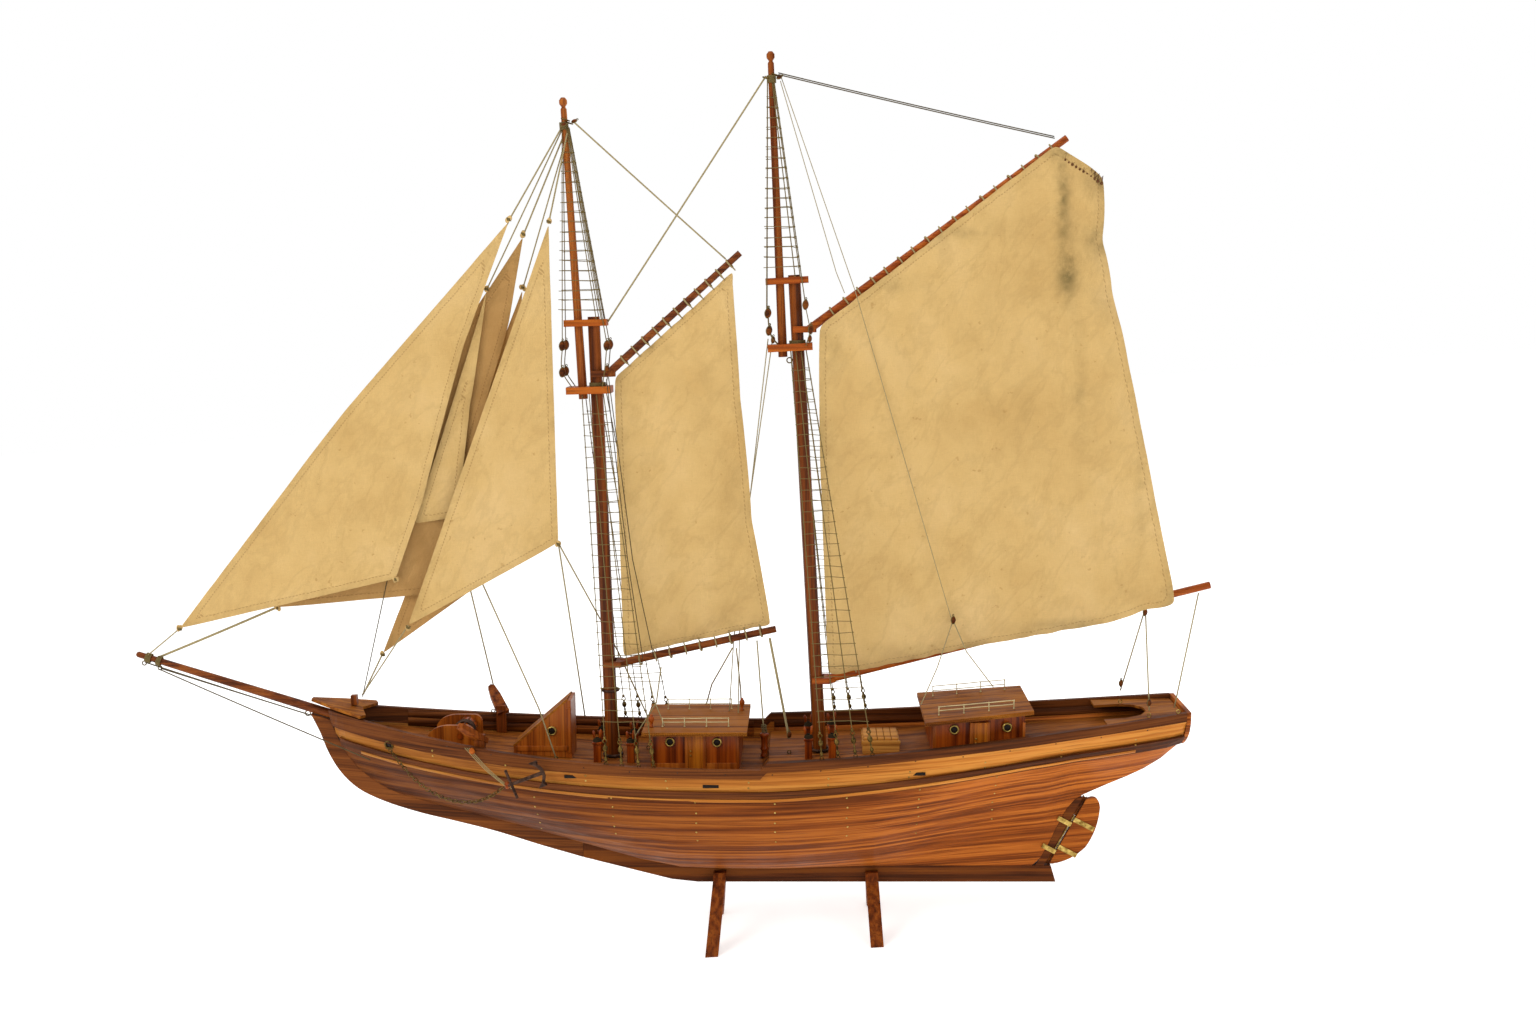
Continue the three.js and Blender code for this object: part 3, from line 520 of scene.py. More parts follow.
def resample(path, step):
    """Points along a polyline about step apart, its corners kept."""
    points = [Vector(path[0])]
    for a, b in zip(path, path[1:]):
        a, b = Vector(a), Vector(b)
        count = max(1, round((b - a).length / step))
        points.extend(a.lerp(b, i / count) for i in range(1, count + 1))
    return points


def smoothed(path, step):
    """A Catmull-Rom curve through the points, sampled about step apart."""
    path = [Vector(p) for p in path]
    if len(path) < 3:
        return resample(path, step)
    padded = [2 * path[0] - path[1], *path, 2 * path[-1] - path[-2]]
    points = [path[0]]
    for i in range(1, len(padded) - 2):
        a, b, c, d = padded[i - 1:i + 3]
        count = max(1, round((c - b).length / step))
        for k in range(1, count + 1):
            t = k / count
            points.append(0.5 * ((2 * b) + (c - a) * t + (2 * a - 5 * b + 4 * c - d) * t * t
                                 + (3 * b - a - 3 * c + d) * t ** 3))
    return points


def tube_shell(path, radius, sides):
    """Vertices and faces of a capped tube along a path, without twist."""
    path = [Vector(p) for p in path]
    tangents = []
    for i in range(len(path)):
        ahead = path[min(i + 1, len(path) - 1)] - path[max(i - 1, 0)]
        tangents.append(ahead.normalized())
    side = tangents[0].orthogonal().normalized()
    points, faces = [], []
    for i, (centre, tangent) in enumerate(zip(path, tangents)):
        side = (side - tangent * side.dot(tangent)).normalized()
        other = tangent.cross(side)
        for j in range(sides):
            angle = 2 * math.pi * j / sides
            points.append(centre + (side * math.cos(angle) + other * math.sin(angle)) * radius)
        if i:
            base = (i - 1) * sides
            for j in range(sides):
                after = (j + 1) % sides
                faces.append((base + j, base + after, base + sides + after, base + sides + j))
    faces.append(tuple(reversed(range(sides))))
    last = (len(path) - 1) * sides
    faces.append(tuple(range(last, last + sides)))
    return points, faces


def add_float(mesh, name, values):
    attribute = mesh.attributes.new(name, "FLOAT", "POINT")
    attribute.data.foreach_set("value", values)


def rope(name, path, diameter, material, body):
    """A rope as one tube; its run and turn attributes carry the lay of the strands."""
    sides = 7
    points, faces = tube_shell(path, diameter / 2, sides)
    mesh = mesh_from(name, points, faces)
    lengths = [0.0]
    for a, b in zip(path, path[1:]):
        lengths.append(lengths[-1] + (Vector(b) - Vector(a)).length)
    add_float(mesh, "run", [lengths[i // sides] for i in range(len(points))])
    add_float(mesh, "turn", [(i % sides) / sides for i in range(len(points))])
    return new_piece(name, mesh, material, body)


def length_of(path):
    return sum((Vector(b) - Vector(a)).length for a, b in zip(path, path[1:]))


# ---- surfaces to fit things to ----
def tree_of(node):
    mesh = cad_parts[node].data
    return BVHTree.FromPolygons([v.co for v in mesh.vertices], [p.vertices[:] for p in mesh.polygons])


TREES = {}


def hit(nodes, start, direction):
    """First point and normal where a ray meets any of the nodes."""
    best = None
    for node in nodes:
        if node not in TREES:
            TREES[node] = tree_of(node)
        location, normal, _, distance = TREES[node].ray_cast(start, direction)
        if location is not None and (best is None or distance < best[2]):
            best = (location, normal, distance)
    return best


def on_side(x, z, side):
    """Point and outward normal on the hull's side (side is -1 to port, 1 to starboard)."""
    nodes = [f"{kind}_{side_name(side)}" for kind in ("bottom_planking", "sheer_strake", "wale", "rail")]
    found = hit(nodes, at(x, z, side * 150), heading(0, 0, -side))
    normal = found[1] if found[1].dot(heading(0, 0, side)) > 0 else -found[1]
    return found[0], normal


def on_top(x, y, nodes):
    """Point where a plumb line in the ship's frame meets the nodes from above."""
    found = hit(nodes, at(x, 330, y), heading(0, -1))
    return found[0]


DECKS = ["main_deck", "quarter_deck"]
RAIL_MIDDLE = 4.0  # depth of the rail's middle under the sheer
RAIL_INSET = 2.4  # from the rail's outside to the middle of its top
SHEER_LOW = 145.7
SHEER_RISE_FORE = 44
SHEER_RISE_AFT = 35


def rail_top(x, side):
    """Middle of the rail's upper face."""
    outside, _ = on_side(x, rail_level(x), side)
    y = (TO_SHIP @ outside).y - side * RAIL_INSET
    return on_top(x, y, [f"rail_{side_name(side)}"])


def rail_level(x):
    """A height within the rail's own depth, for finding its outside."""
    fore = max(0.0, (-20 - x) / 445)
    aft = max(0.0, x / 421)
    return SHEER_LOW + SHEER_RISE_FORE * fore ** 2.1 + SHEER_RISE_AFT * aft ** 1.35 - RAIL_MIDDLE


# ---- anchor chains: one link at a time along the route ----
CHAIN_ROUTE = [
    (-377.5, 155, 42.5), (-366, 141, 46.5), (-350, 125, 52), (-331, 113, 58.5),
    (-308, 106.5, 66.5), (-285, 108.5, 74.5), (-268, 116, 80.5), (-256, 125, 84.6),
]


CHAIN_PITCH = 0.0034
CHAIN_WIRE = 0.00042
LINK_HALF_LENGTH = CHAIN_PITCH * 0.82
LINK_SLIMNESS = 0.62  # width over length


def chain(name, path):
    """Oval links, each turned a quarter from the last."""
    parts = Parts()
    dense = smoothed(path, 0.0008)
    run = 0.0
    last = dense[0]
    flip = 0
    for point in dense[1:]:
        run += (point - last).length
        if run >= CHAIN_PITCH:
            link(parts, point, (point - last).normalized(), flip)
            flip = 1 - flip
            run = 0.0
        last = point
    return parts.piece(name, "old_brass"), dense


def link(parts, centre, along, flip):
    half = LINK_HALF_LENGTH
    side = along.orthogonal().normalized()
    if flip:
        side = along.cross(side)
    oval = []
    for i in range(13):
        angle = 2 * math.pi * i / 12
        oval.append(centre + along * half * math.cos(angle) + side * half * LINK_SLIMNESS * math.sin(angle))
    parts.tube(oval, CHAIN_WIRE, 5)


for side, label in SIDES:
    route = [at(x, z, side * y) for x, z, y in CHAIN_ROUTE]
    links, dense = chain(f"chain_links_{label}", route)
    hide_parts(f"anchor_chain_{label}")

# ---- rigging lines ----
# name, body at the far end (None if the hull), core diameter in mm, material, points (x, z, y)
LINES = [
    ("flying_jib_halyard", None, 1.2, "rope", [(-190, 768, 0), (-247, 673, -6)]),
    ("inner_jib_halyard", None, 1.0, "rope", [(-191, 765, 1), (-272, 606, -1)]),
    ("outer_jib_halyard", None, 1.2, "rope", [(-189, 762, 2), (-235, 659, 4)]),
    ("inner_staysail_halyard", None, 1.0, "rope", [(-188, 759, 4), (-238, 607, 10)]),
    ("fore_staysail_halyard", None, 1.2, "rope", [(-188, 756, -4), (-207, 670, -12)]),
    ("fore_stay", None, 0.9, "dark_rope",
     [(-247, 673, -3), (-268, 636, -2), (-380, 325, -2), (-412, 196, -3)]),
    ("flying_jib_tack", None, 1.0, "rope", [(-594, 269, -6), (-632, 239, -2)]),
    ("outer_jib_tack", None, 1.8, "rope", [(-497, 288, 4), (-623, 236, 2)]),
    ("fore_staysail_tack", None, 1.0, "rope", [(-360, 272, -12), (-412, 198, -4)]),
    ("inner_staysail_tack", None, 1.2, "rope", [(-393, 238, 10), (-413, 197, 4)]),
    ("fore_staysail_sheet_port", None, 1.1, "rope", [(-206, 355, -12), (-196, 240, 14), (-191, 163, 40)]),
    ("fore_staysail_sheet_starboard", None, 1.1, "rope",
     [(-206, 355, -12), (-152, 238, 16), (-124, 165, 30)]),
    ("inner_jib_sheet", None, 1.1, "rope", [(-309, 381, 1), (-306, 306, 30), (-292, 168, 86)]),
    ("inner_staysail_sheet", None, 1.1, "rope", [(-296, 331, 8), (-229, 188, -20), (-212, 138, -26)]),
    ("bobstay_upper", None, 1.2, "dark_rope", [(-635, 232, 0), (-470, 178, -3)]),
    ("bobstay_port", None, 1.1, "dark_rope", [(-620, 225, -2), (-397, 140, -38)]),
    ("bobstay_starboard", None, 1.1, "dark_rope", [(-620, 225, 2), (-397, 140, 38)]),
    ("triatic_stay", None, 1.3, "rope", [(5, 808, 0), (-153, 574, 0)]),
    ("fore_peak_halyard", "fore_rig", 1.2, "rope", [(-181, 766, 0), (-36, 634, 0)]),
    ("main_peak_halyard_upper", "main_rig", 1.0, "dark_rope", [(17, 811, 1), (283, 748, 0)]),
    ("main_peak_halyard_lower", "main_rig", 1.0, "dark_rope", [(17, 809, -2), (283, 746, -3)]),
    ("main_lift_outer", "main_rig", 0.6, "rope", [(20, 806, -2), (90, 603, -17), (185, 279, -21)]),
    ("main_lift_inner", "main_rig", 0.6, "rope", [(19, 803, -2), (72, 620, -15), (80, 600, -16)]),
    ("main_sheet_port", "main_rig", 1.0, "rope", [(381, 186, -30), (381, 277, -3)]),
    ("main_sheet_starboard", "main_rig", 1.0, "rope", [(364, 192, 30), (380, 277, 3)]),
    ("boom_end_line", "main_rig", 1.0, "rope", [(408, 187, -20), (433, 300, -3)]),
    ("fore_sheet_aft", "fore_rig", 1.1, "rope", [(-70, 152, 86), (-58, 196, 45), (-34, 244, 3)]),
    ("fore_lift", "fore_rig", 0.8, "dark_rope", [(-152, 520, -13), (-132, 338, -12), (-113, 238, -9)]),
    ("fore_lift_second", "fore_rig", 0.8, "dark_rope",
     [(-154, 518, -13), (-137, 338, -12), (-124, 236, -9)]),
    ("fore_sheet_long", "fore_rig", 1.1, "rope", [(-29, 153, 86), (-28, 190, 48), (-30, 244, 2)]),
    ("fore_boom_guy", "fore_rig", 1.1, "rope", [(-3, 158, 5), (-9, 252, 2)]),
    ("fore_boom_tail", "fore_rig", 1.9, "rope", [(23, 152, -6), (4, 255, -1)]),
    ("fore_boom_lift", "fore_rig", 1.0, "rope", [(-136, 152, -15), (-111, 191, -10), (-106, 227, -6)]),
    ("fore_fall", "fore_rig", 0.8, "rope", [(-84, 131, -38), (-112, 196, -22), (-120, 224, -9)]),
    ("main_boom_fall", "main_rig", 0.8, "rope", [(154, 196, -40), (171, 230, -26), (186, 274, -21)]),
    ("main_boom_fall_aft", "main_rig", 0.8, "rope", [(226, 212, -34), (200, 246, -26), (188, 274, -21)]),
    ("forward_main_stay", None, 0.8, "rope", [(9, 553, 0), (-25, 330, 8), (-30, 158, 20)]),
    ("forward_main_stay_fall", None, 0.8, "rope", [(5, 556, 0), (-33, 250, 10), (-40, 160, 30)]),
]


SWELL = {"rope": 1.35, "dark_rope": 1.15}  # whole thickness over core diameter


def draw_line(name, far_body, diameter, material, points):
    path = resample([at(*p) for p in points], 0.012)
    bow_out(path, 0.004 if len(points) == 2 else 0.002)
    diameter *= SWELL[material]
    piece = rope(name, path, diameter * MM, material, None if far_body else "hull")
    if far_body:
        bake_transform(piece)


def bow_out(path, share):
    """A taut line's slight sag between its ends."""
    total = length_of(path)
    flat = abs((path[-1] - path[0]).normalized().z)
    drop = total * share * (1 - 0.8 * flat)
    for i in range(1, len(path) - 1):
        t = i / (len(path) - 1)
        path[i].z -= 4 * drop * t * (1 - t)


for row in LINES:
    draw_line(*row)


# ---- shrouds and ratlines ----
SHROUD_RADIUS = 0.0005
RATLINE_RADIUS = 0.00036


def net(name, feet, tops, low, high, pitch):
    """A gang of shrouds with ratlines tied across them; feet and tops are (x, z, y)."""
    parts = Parts()
    legs = []
    for foot, top in zip(feet, tops):
        legs.append((at(*foot), at(*top)))
        parts.tube(resample([at(*foot), at(*top)], 0.05), SHROUD_RADIUS, 6)
    z = low
    while z < high:
        rung = []
        for (foot, top), (start, end) in zip(legs, zip(feet, tops)):
            t = (z - start[1]) / (end[1] - start[1])
            rung.append(foot.lerp(top, t) + Vector((0, 0, random.uniform(-1, 1) * 0.0008)))
        ends = [rung[0].lerp(rung[1], -0.12), *rung, rung[-1].lerp(rung[-2], -0.12)]
        parts.tube(ends, RATLINE_RADIUS, 5)
        for knot in rung:
            parts.ball(knot, 0.0008, 4, 6)
        z += pitch
    parts.piece(name, "thread")


def screw(parts, foot, top):
    """The turned brass bottle screw at a shroud's foot: eye, beads, barrel and hook."""
    axis = (top - foot).normalized()
    parts.ring(foot + axis * 0.0015, Vector((0, 1, 0.1)), 0.0016, 0.0005, 12, 6)
    profile = [
        (0.0004, 0.003), (0.0016, 0.0045), (0.0019, 0.0058), (0.0016, 0.007), (0.0007, 0.008),
        (0.0007, 0.0095), (0.0013, 0.0105), (0.0007, 0.0115), (0.0007, 0.013), (0.0021, 0.0142),
        (0.0026, 0.0162), (0.0021, 0.0182), (0.0008, 0.0194), (0.0012, 0.0204), (0.0008, 0.0214),
    ]
    parts.lathe(foot, axis, profile, 12)
    parts.ring(foot + axis * 0.0232, Vector((0, 1, 0.1)), 0.0019, 0.0005, 12, 6)
    parts.ball(foot + axis * 0.0262, 0.0016, 5, 8)


FORE_FEET = [-153.4, -138.2, -121.6, -106.9]
MAIN_FEET = [55.4, 71.3, 88.1, 104.5]
FORE_TOPS = [-179, -172, -165, -158]
MAIN_TOPS = [27, 32, 37, 42]


def lower_shrouds(mast, stations, tops, high):
    """Port and starboard gangs from the rail to under the trestle."""
    for side, label in SIDES:
        feet, screws = [], Parts()
        for x, top in zip(stations, tops):
            base = TO_SHIP @ rail_top(x, side)
            foot = at(base.x, base.z - 0.5, base.y)
            head = at(top, high, side * 11)
            screw(screws, foot, head)
            rise = TO_SHIP @ foot.lerp(head, 0.027 / (head - foot).length)
            feet.append((rise.x, rise.z, rise.y))
        heads = [(top, high, side * 11) for top in tops]
        net(f"{mast}_shrouds_{label}", feet, heads, 190, high - 16, 10.5)
        screws.piece(f"{mast}_shroud_screws_{label}", "old_brass")


lower_shrouds("fore", FORE_FEET, FORE_TOPS, 507)
lower_shrouds("main", MAIN_FEET, MAIN_TOPS, 547)


def top_shrouds(mast, feet, tops, z_high, start):
    for side, label in SIDES:
        low = [(x, z, side * 11) for x, z in feet]
        high = [(x, z_high, side * 3) for x in tops]
        net(f"{mast}_topmast_shrouds_{label}", low, high, start, z_high - 14, 9.5)


top_shrouds("fore", [(-197, 553), (-163, 576), (-158, 576), (-153, 552)], (-193, -189, -188, -187), 762, 586)
top_shrouds("main", [(4, 583), (32, 616), (37, 616), (42, 589)], (6.5, 11, 12, 13), 803, 626)


def lanyards():
    """Thin lines between the deadeyes and down to the trestles."""
    parts = Parts()
    for inset, runs in (
        (12, [(-197, 550), (-198, 527), (-188, 509)]), (16, [(-153, 548), (-155, 530), (-158, 510)]),
        (12, [(5, 581), (6, 567), (9, 557), (16, 549)]), (15, [(42, 587), (46, 566), (45, 557), (42, 549)]),
    ):
        for y in (-inset, 1.2 - inset, inset - 1.2, inset):
            parts.tube(smoothed([at(x, z, y) for x, z in runs], 0.004), 0.00045, 5)
    parts.piece("deadeye_lanyards", "thread")


lanyards()


# ---- sails ----
SAILS = {
    "foresail": [(-147, 519), (-29, 622), (-23, 496), (-13, 376), (5, 269), (-144, 237)],
    "mainsail": [(56, 568), (283, 739), (330, 708), (330, 649), (340, 601), (408, 290), (381, 285),
                 (321, 267), (236, 252), (80, 220), (63, 220), (57, 396)],
    "fore_staysail": [(-207, 669), (-360, 272), (-206, 356)],
    "flying_jib": [(-247, 672), (-419, 485), (-594, 269), (-372, 319), (-342, 398), (-295, 553)],
    "inner_jib": [(-272, 605), (-352, 374), (-308, 381), (-292, 494)],
    "outer_jib": [(-235, 658), (-497, 288), (-340, 302), (-254, 567)],
    "inner_staysail": [(-238, 606), (-393, 238), (-262, 331)],
}


def border_points(outline, pitch):
    """The outline walked at an even pitch; each point with the number of its edge."""
    points, edges = [], []
    for i, start in enumerate(outline):
        start = Vector(start)
        end = Vector(outline[(i + 1) % len(outline)])
        count = max(1, round((end - start).length / pitch))
        for k in range(count):
            points.append(start.lerp(end, k / count))
            edges.append(i)
    return points, edges


def edge_distance(point, outline):
    best = 1e9
    for i, start in enumerate(outline):
        start = Vector(start)
        way = Vector(outline[(i + 1) % len(outline)]) - start
        t = min(1, max(0, (point - start).dot(way) / way.length_squared))
        best = min(best, (point - start - way * t).length)
    return best


def contains(outline, point):
    inside = False
    for i, a in enumerate(outline):
        b = outline[(i + 1) % len(outline)]
        if (a[1] > point[1]) != (b[1] > point[1]):
            if point[0] < a[0] + (b[0] - a[0]) * (point[1] - a[1]) / (b[1] - a[1]):
                inside = not inside
    return inside


def sail_points(outline, pitch):
    """Border first, then a staggered grid inside it."""
    border, edges = border_points(outline, pitch)
    points = list(border)
    xs = [p[0] for p in outline]
    zs = [p[1] for p in outline]
    row, z = 0, min(zs)
    while z < max(zs):
        x = min(xs) + (row % 2) * pitch / 2
        while x < max(xs):
            place = Vector((x, z))
            if contains(outline, place) and edge_distance(place, outline) > pitch * 0.6:
                points.append(place)
            x += pitch
        row += 1
        z += pitch * 0.87
    return points, len(border), edges


def sail_mesh(name, outline, plane, pitch):
    """Triangulated flat cloth in the ship's centre plane, y = plane."""
    points, rim, edges = sail_points(outline, pitch)
    loop = [(i, (i + 1) % rim) for i in range(rim)]
    flat, _, faces, origin, _, _ = delaunay_2d_cdt(points, loop, [], 1, 1e-5)
    mesh = mesh_from(name, [at(p.x, p.y, plane) for p in flat], faces)
    kinds = [-1] * len(flat)
    for i, sources in enumerate(origin):
        for source in sources:
            if source < rim:
                kinds[i] = edges[source]
    return mesh, flat, kinds


CLOTH_FRAMES = 26
PIN_EVERY = 3  # of the points along a laced edge, one in so many is held fast


def drape(piece, pins, wind, cap, slack):
    """Blows the pinned cloth with Blender's Cloth, then keeps each point within cap of its start."""
    mesh = piece.data
    start = [v.co.copy() for v in mesh.vertices]
    group = piece.vertex_groups.new(name="pins")
    for index, weight in pins.items():
        group.add([index], weight, "REPLACE")
    cloth = piece.modifiers.new("cloth", "CLOTH")
    settings = cloth.settings
    settings.quality = 6
    settings.mass = 0.12
    settings.tension_stiffness = 12
    settings.compression_stiffness = 6
    settings.shear_stiffness = 4
    settings.bending_stiffness = 0.12
    settings.air_damping = 4
    settings.shrink_min = -slack
    settings.vertex_group_mass = "pins"
    settings.effector_weights.gravity = 1.0
    scene = bpy.context.scene
    scene.gravity = Vector(wind)
    cloth.point_cache.frame_start = 1
    cloth.point_cache.frame_end = CLOTH_FRAMES
    for number in range(1, CLOTH_FRAMES + 1):
        scene.frame_set(number)
    result = piece.evaluated_get(bpy.context.evaluated_depsgraph_get())
    moved = [v.co.copy() for v in result.data.vertices]
    piece.modifiers.remove(cloth)
    for vertex, first, last in zip(mesh.vertices, start, moved):
        shift = last - first
        reach = shift.length
        if reach > 1e-9:
            shift *= cap * math.tanh(reach / cap) / reach
        vertex.co = first + shift
    scene.frame_set(1)
    scene.gravity = Vector((0, 0, -9.81))
    piece.vertex_groups.clear()
    mesh.update()


def pins_for(kinds, laced, corners):
    """Pin weights along the laced edges and at the corners."""
    pins = {}
    count = 0
    for index, kind in enumerate(kinds):
        if kind in laced:
            count += 1
            pins[index] = 1.0 if count % PIN_EVERY == 0 else 0.55
    for index in corners:
        pins[index] = 1.0
    return pins


PEAK_FOLD = [(284, 735), (291, 601), (309, 500), (321, 430), (330, 280)]


def fold_height(place):
    """The long soft fold that runs down the mainsail from its peak."""
    for (x0, z0), (x1, z1) in zip(PEAK_FOLD, PEAK_FOLD[1:]):
        if z1 <= place.y <= z0:
            away = place.x - (x0 + (x1 - x0) * (z0 - place.y) / (z0 - z1))
            fade = min(1.0, max(0.0, (place.y - 300) / 300))
            return fade * (math.exp(-((away / 6) ** 2)) - 0.7 * math.exp(-(((away - 13) / 7) ** 2)))
    return 0.0


def crumple(mesh, flat, strength, frequency, seed, folded):
    """Small soft creases left in old cotton."""
    across = heading(0, 0, 1)
    for vertex, place in zip(mesh.vertices, flat):
        spot = Vector((place.x * frequency, place.y * frequency * 0.45, seed))
        height = noise.fractal(spot, 0.8, 2.2, 4, noise_basis="PERLIN_ORIGINAL")
        fine = noise.noise(Vector((place.x * 0.05, place.y * 0.09, seed + 9)))
        run = place.x * 0.6 - place.y * 0.8
        lane = place.x * 0.8 + place.y * 0.6
        crease = abs(noise.noise(Vector((run * 0.009, lane * 0.040, seed + 5))))
        vertex.co += across * (height + 0.35 * fine - 0.9 * crease) * strength
        if folded:
            vertex.co -= across * fold_height(place) * 0.0018
    mesh.update()


STAINS = [  # x, z, width, height, strength on the mainsail
    (295, 620, 9, 28, 1.0), (290, 680, 5, 60, 0.8), (326, 649, 12, 14, 0.8), (325, 708, 14, 12, 0.7),
    (183, 658, 40, 8, 0.4), (124, 607, 30, 7, 0.35), (62, 540, 12, 20, 0.4), (60, 400, 5, 90, 0.45),
    (316, 268, 60, 5, 0.6), (196, 246, 80, 4, 0.5), (402, 304, 6, 40, 0.4), (309, 500, 5, 60, 0.3),
    (290, 730, 16, 8, 0.8), (370, 420, 5, 90, 0.25),
]


def stain_at(place):
    """How dirty the mainsail is at a place."""
    level = 0.0
    for x, z, wide, tall, strength in STAINS:
        away = ((place.x - x) / wide) ** 2 + ((place.y - z) / tall) ** 2
        level = max(level, strength * math.exp(-away))
    return level


def make_sail(name, plane, pitch, laced, body, cap, wind, slack, seed, material="sailcloth"):
    outline = SAILS[name]
    mesh, flat, kinds = sail_mesh(f"{name}_cloth", outline, plane, pitch)
    piece = new_piece(f"{name}_cloth", mesh, material, None)
    corners = [
        min(range(len(flat)), key=lambda i: (flat[i] - Vector(corner)).length) for corner in outline
    ]
    drape(piece, pins_for(kinds, laced, corners), wind, cap, slack)
    crumple(mesh, flat, 0.0042 if laced else 0.0020, 0.013, seed, name == "mainsail")
    add_float(mesh, "edge", [edge_distance(p, outline) * MM for p in flat])
    add_float(mesh, "stain", [stain_at(p) if name == "mainsail" else 0.0 for p in flat])
    smooth = piece.modifiers.new("smooth", "SUBSURF")
    smooth.levels = smooth.render_levels = 1
    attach(piece, body)
    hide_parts(name)
    xs = [p[0] for p in outline]
    zs = [p[1] for p in outline]
    wide, tall = (max(xs) - min(xs)) * MM, (max(zs) - min(zs)) * MM
    area = sum(polygon.area for polygon in mesh.polygons)
    area = max(area, 0.3 * wide * tall)


make_sail("foresail", 0, 6.5, (0, 4), "fore_rig", 0.007, (0, -5, -4), 0.02, 1.0)
make_sail("mainsail", -5, 8.5, (0, 7, 8), "main_rig", 0.009, (0, -5, -4), 0.02, 2.0)
# The outer jib and the inner staysail take the darker sailcloth copy, painted shade for sails that lie in
# the others' shadow.
for name, plane, pitch, seed, material in [
    ("fore_staysail", -12, 6.0, 3.0, "sailcloth"), ("flying_jib", -6, 6.5, 4.0, "sailcloth"),
    ("inner_jib", -1, 6.0, 5.0, "sailcloth"), ("outer_jib", 4, 6.5, 6.0, "sailcloth_dark"),
    ("inner_staysail", 10, 6.0, 7.0, "sailcloth_dark"),
]:
    make_sail(name, plane, pitch, (), "hull", 0.0025, (0, -3, -2), 0.004, seed, material)


# ---- lacing on the spars ----
def lacing(name, body, start, end, count, radius, drop, reach=4.0):
    """Turns of twine round a spar, each with a stitch into the sail's edge."""
    parts = Parts()
    start, end = at(*start), at(*end)
    axis = (end - start).normalized()
    for i in range(count):
        centre = start.lerp(end, (i + 0.5) / count)
        tilt = (axis + heading(0, 0, 1) * 0.12 * (1 if i % 2 else -1)).normalized()
        down = axis.cross(heading(0, 0, 1)).normalized()
        if down.z * drop < 0:
            down = -down
        parts.ring(centre, tilt, (radius + 0.2) * MM, 0.00085, 20, 6)
        slant = axis * (reach - 4.0) * 0.5 * MM
        parts.tube([centre + down * radius * MM, centre + down * (radius + reach) * MM
                    + heading(0, 0, -1) * 0.0016 - slant], 0.0007, 5)
    parts.piece(name, "twine", body)


lacing("fore_gaff_lacing", "fore_rig", (-143, 532), (-27, 634), 11, 4.6, -1)
lacing("fore_boom_lacing", "fore_rig", (-135, 231), (3, 263), 9, 4.6, 1)
lacing("main_gaff_lacing", "main_rig", (62, 577), (288, 741), 17, 4.9, -1)
lacing("main_boom_lacing", "main_rig", (80, 222), (400, 297), 15, 5.2, 1, 9.0)


def peak_stitches():
    """Brown zig-zag stitching along the mainsail's peak patch."""
    parts = Parts()
    steps = 22
    path = []
    for i in range(steps + 1):
        t = i / steps
        lift = 3.2 if i % 2 else -2.6
        path.append(at(290 + 39 * t + lift * 0.5, 730 - 25 * t + lift, -8.4 - random.uniform(0, 0.8)))
    parts.tube(path, 0.0009, 6)
    for point in path[::2]:
        parts.ball(point, 0.0016, 4, 6)
    parts.piece("peak_stitching", "knot", "main_rig")


peak_stitches()


# ---- cabin fittings ----
PORTHOLE_RADIUS = 0.005


def porthole(rims, pane_shade, centre, facing):
    """Turned brass rim and a dark disc inside it, painted shade for the unlit opening behind the glass."""
    facing = facing.normalized()
    r = PORTHOLE_RADIUS
    profile = [
        (r * 0.62, -0.0008), (r * 0.62, 0.0010), (r * 0.68, 0.0015), (r * 0.80, 0.0018), (r * 0.94, 0.0013),
        (r, 0.0004), (r, -0.0008),
    ]
    rims.lathe(centre, facing, profile, 28)
    light = [(r * 0.66, -0.0004), (r * 0.66, 0.0011), (r * 0.5, 0.00125), (0, 0.0013)]
    pane_shade.lathe(centre, facing, light, 20)


def panel(parts, x, z, y, wide, tall, thick=1.2, bevel=0.35):
    parts.box(at(x, z, y), (wide * MM, thick * MM, tall * MM), None, bevel)


HANDRAIL_POSTS = 4


def handrail(parts, x0, x1, z0, z1, y, tall):
    """Two wires on posts along a cabin roof."""
    for level in (0.55, 1.0):
        ends = [at(x0, z0 + tall * level, y), at(x1, z1 + tall * level, y)]
        path = resample(ends, 0.012)
        for i in range(1, len(path) - 1):
            path[i].z += random.uniform(-1, 1) * 0.0002
        parts.tube(path, 0.0005, 6)
    for i in range(HANDRAIL_POSTS):
        t = i / (HANDRAIL_POSTS - 1)
        foot = at(x0 + (x1 - x0) * t, z0 + (z1 - z0) * t - 0.6, y)
        top = at(x0 + (x1 - x0) * t, z0 + (z1 - z0) * t + tall, y)
        parts.tube([foot, top], 0.0005, 6)
        parts.ball(top, 0.0008, 4, 8)
        parts.ball(foot + heading(0, 1) * 0.001, 0.0009, 4, 8)


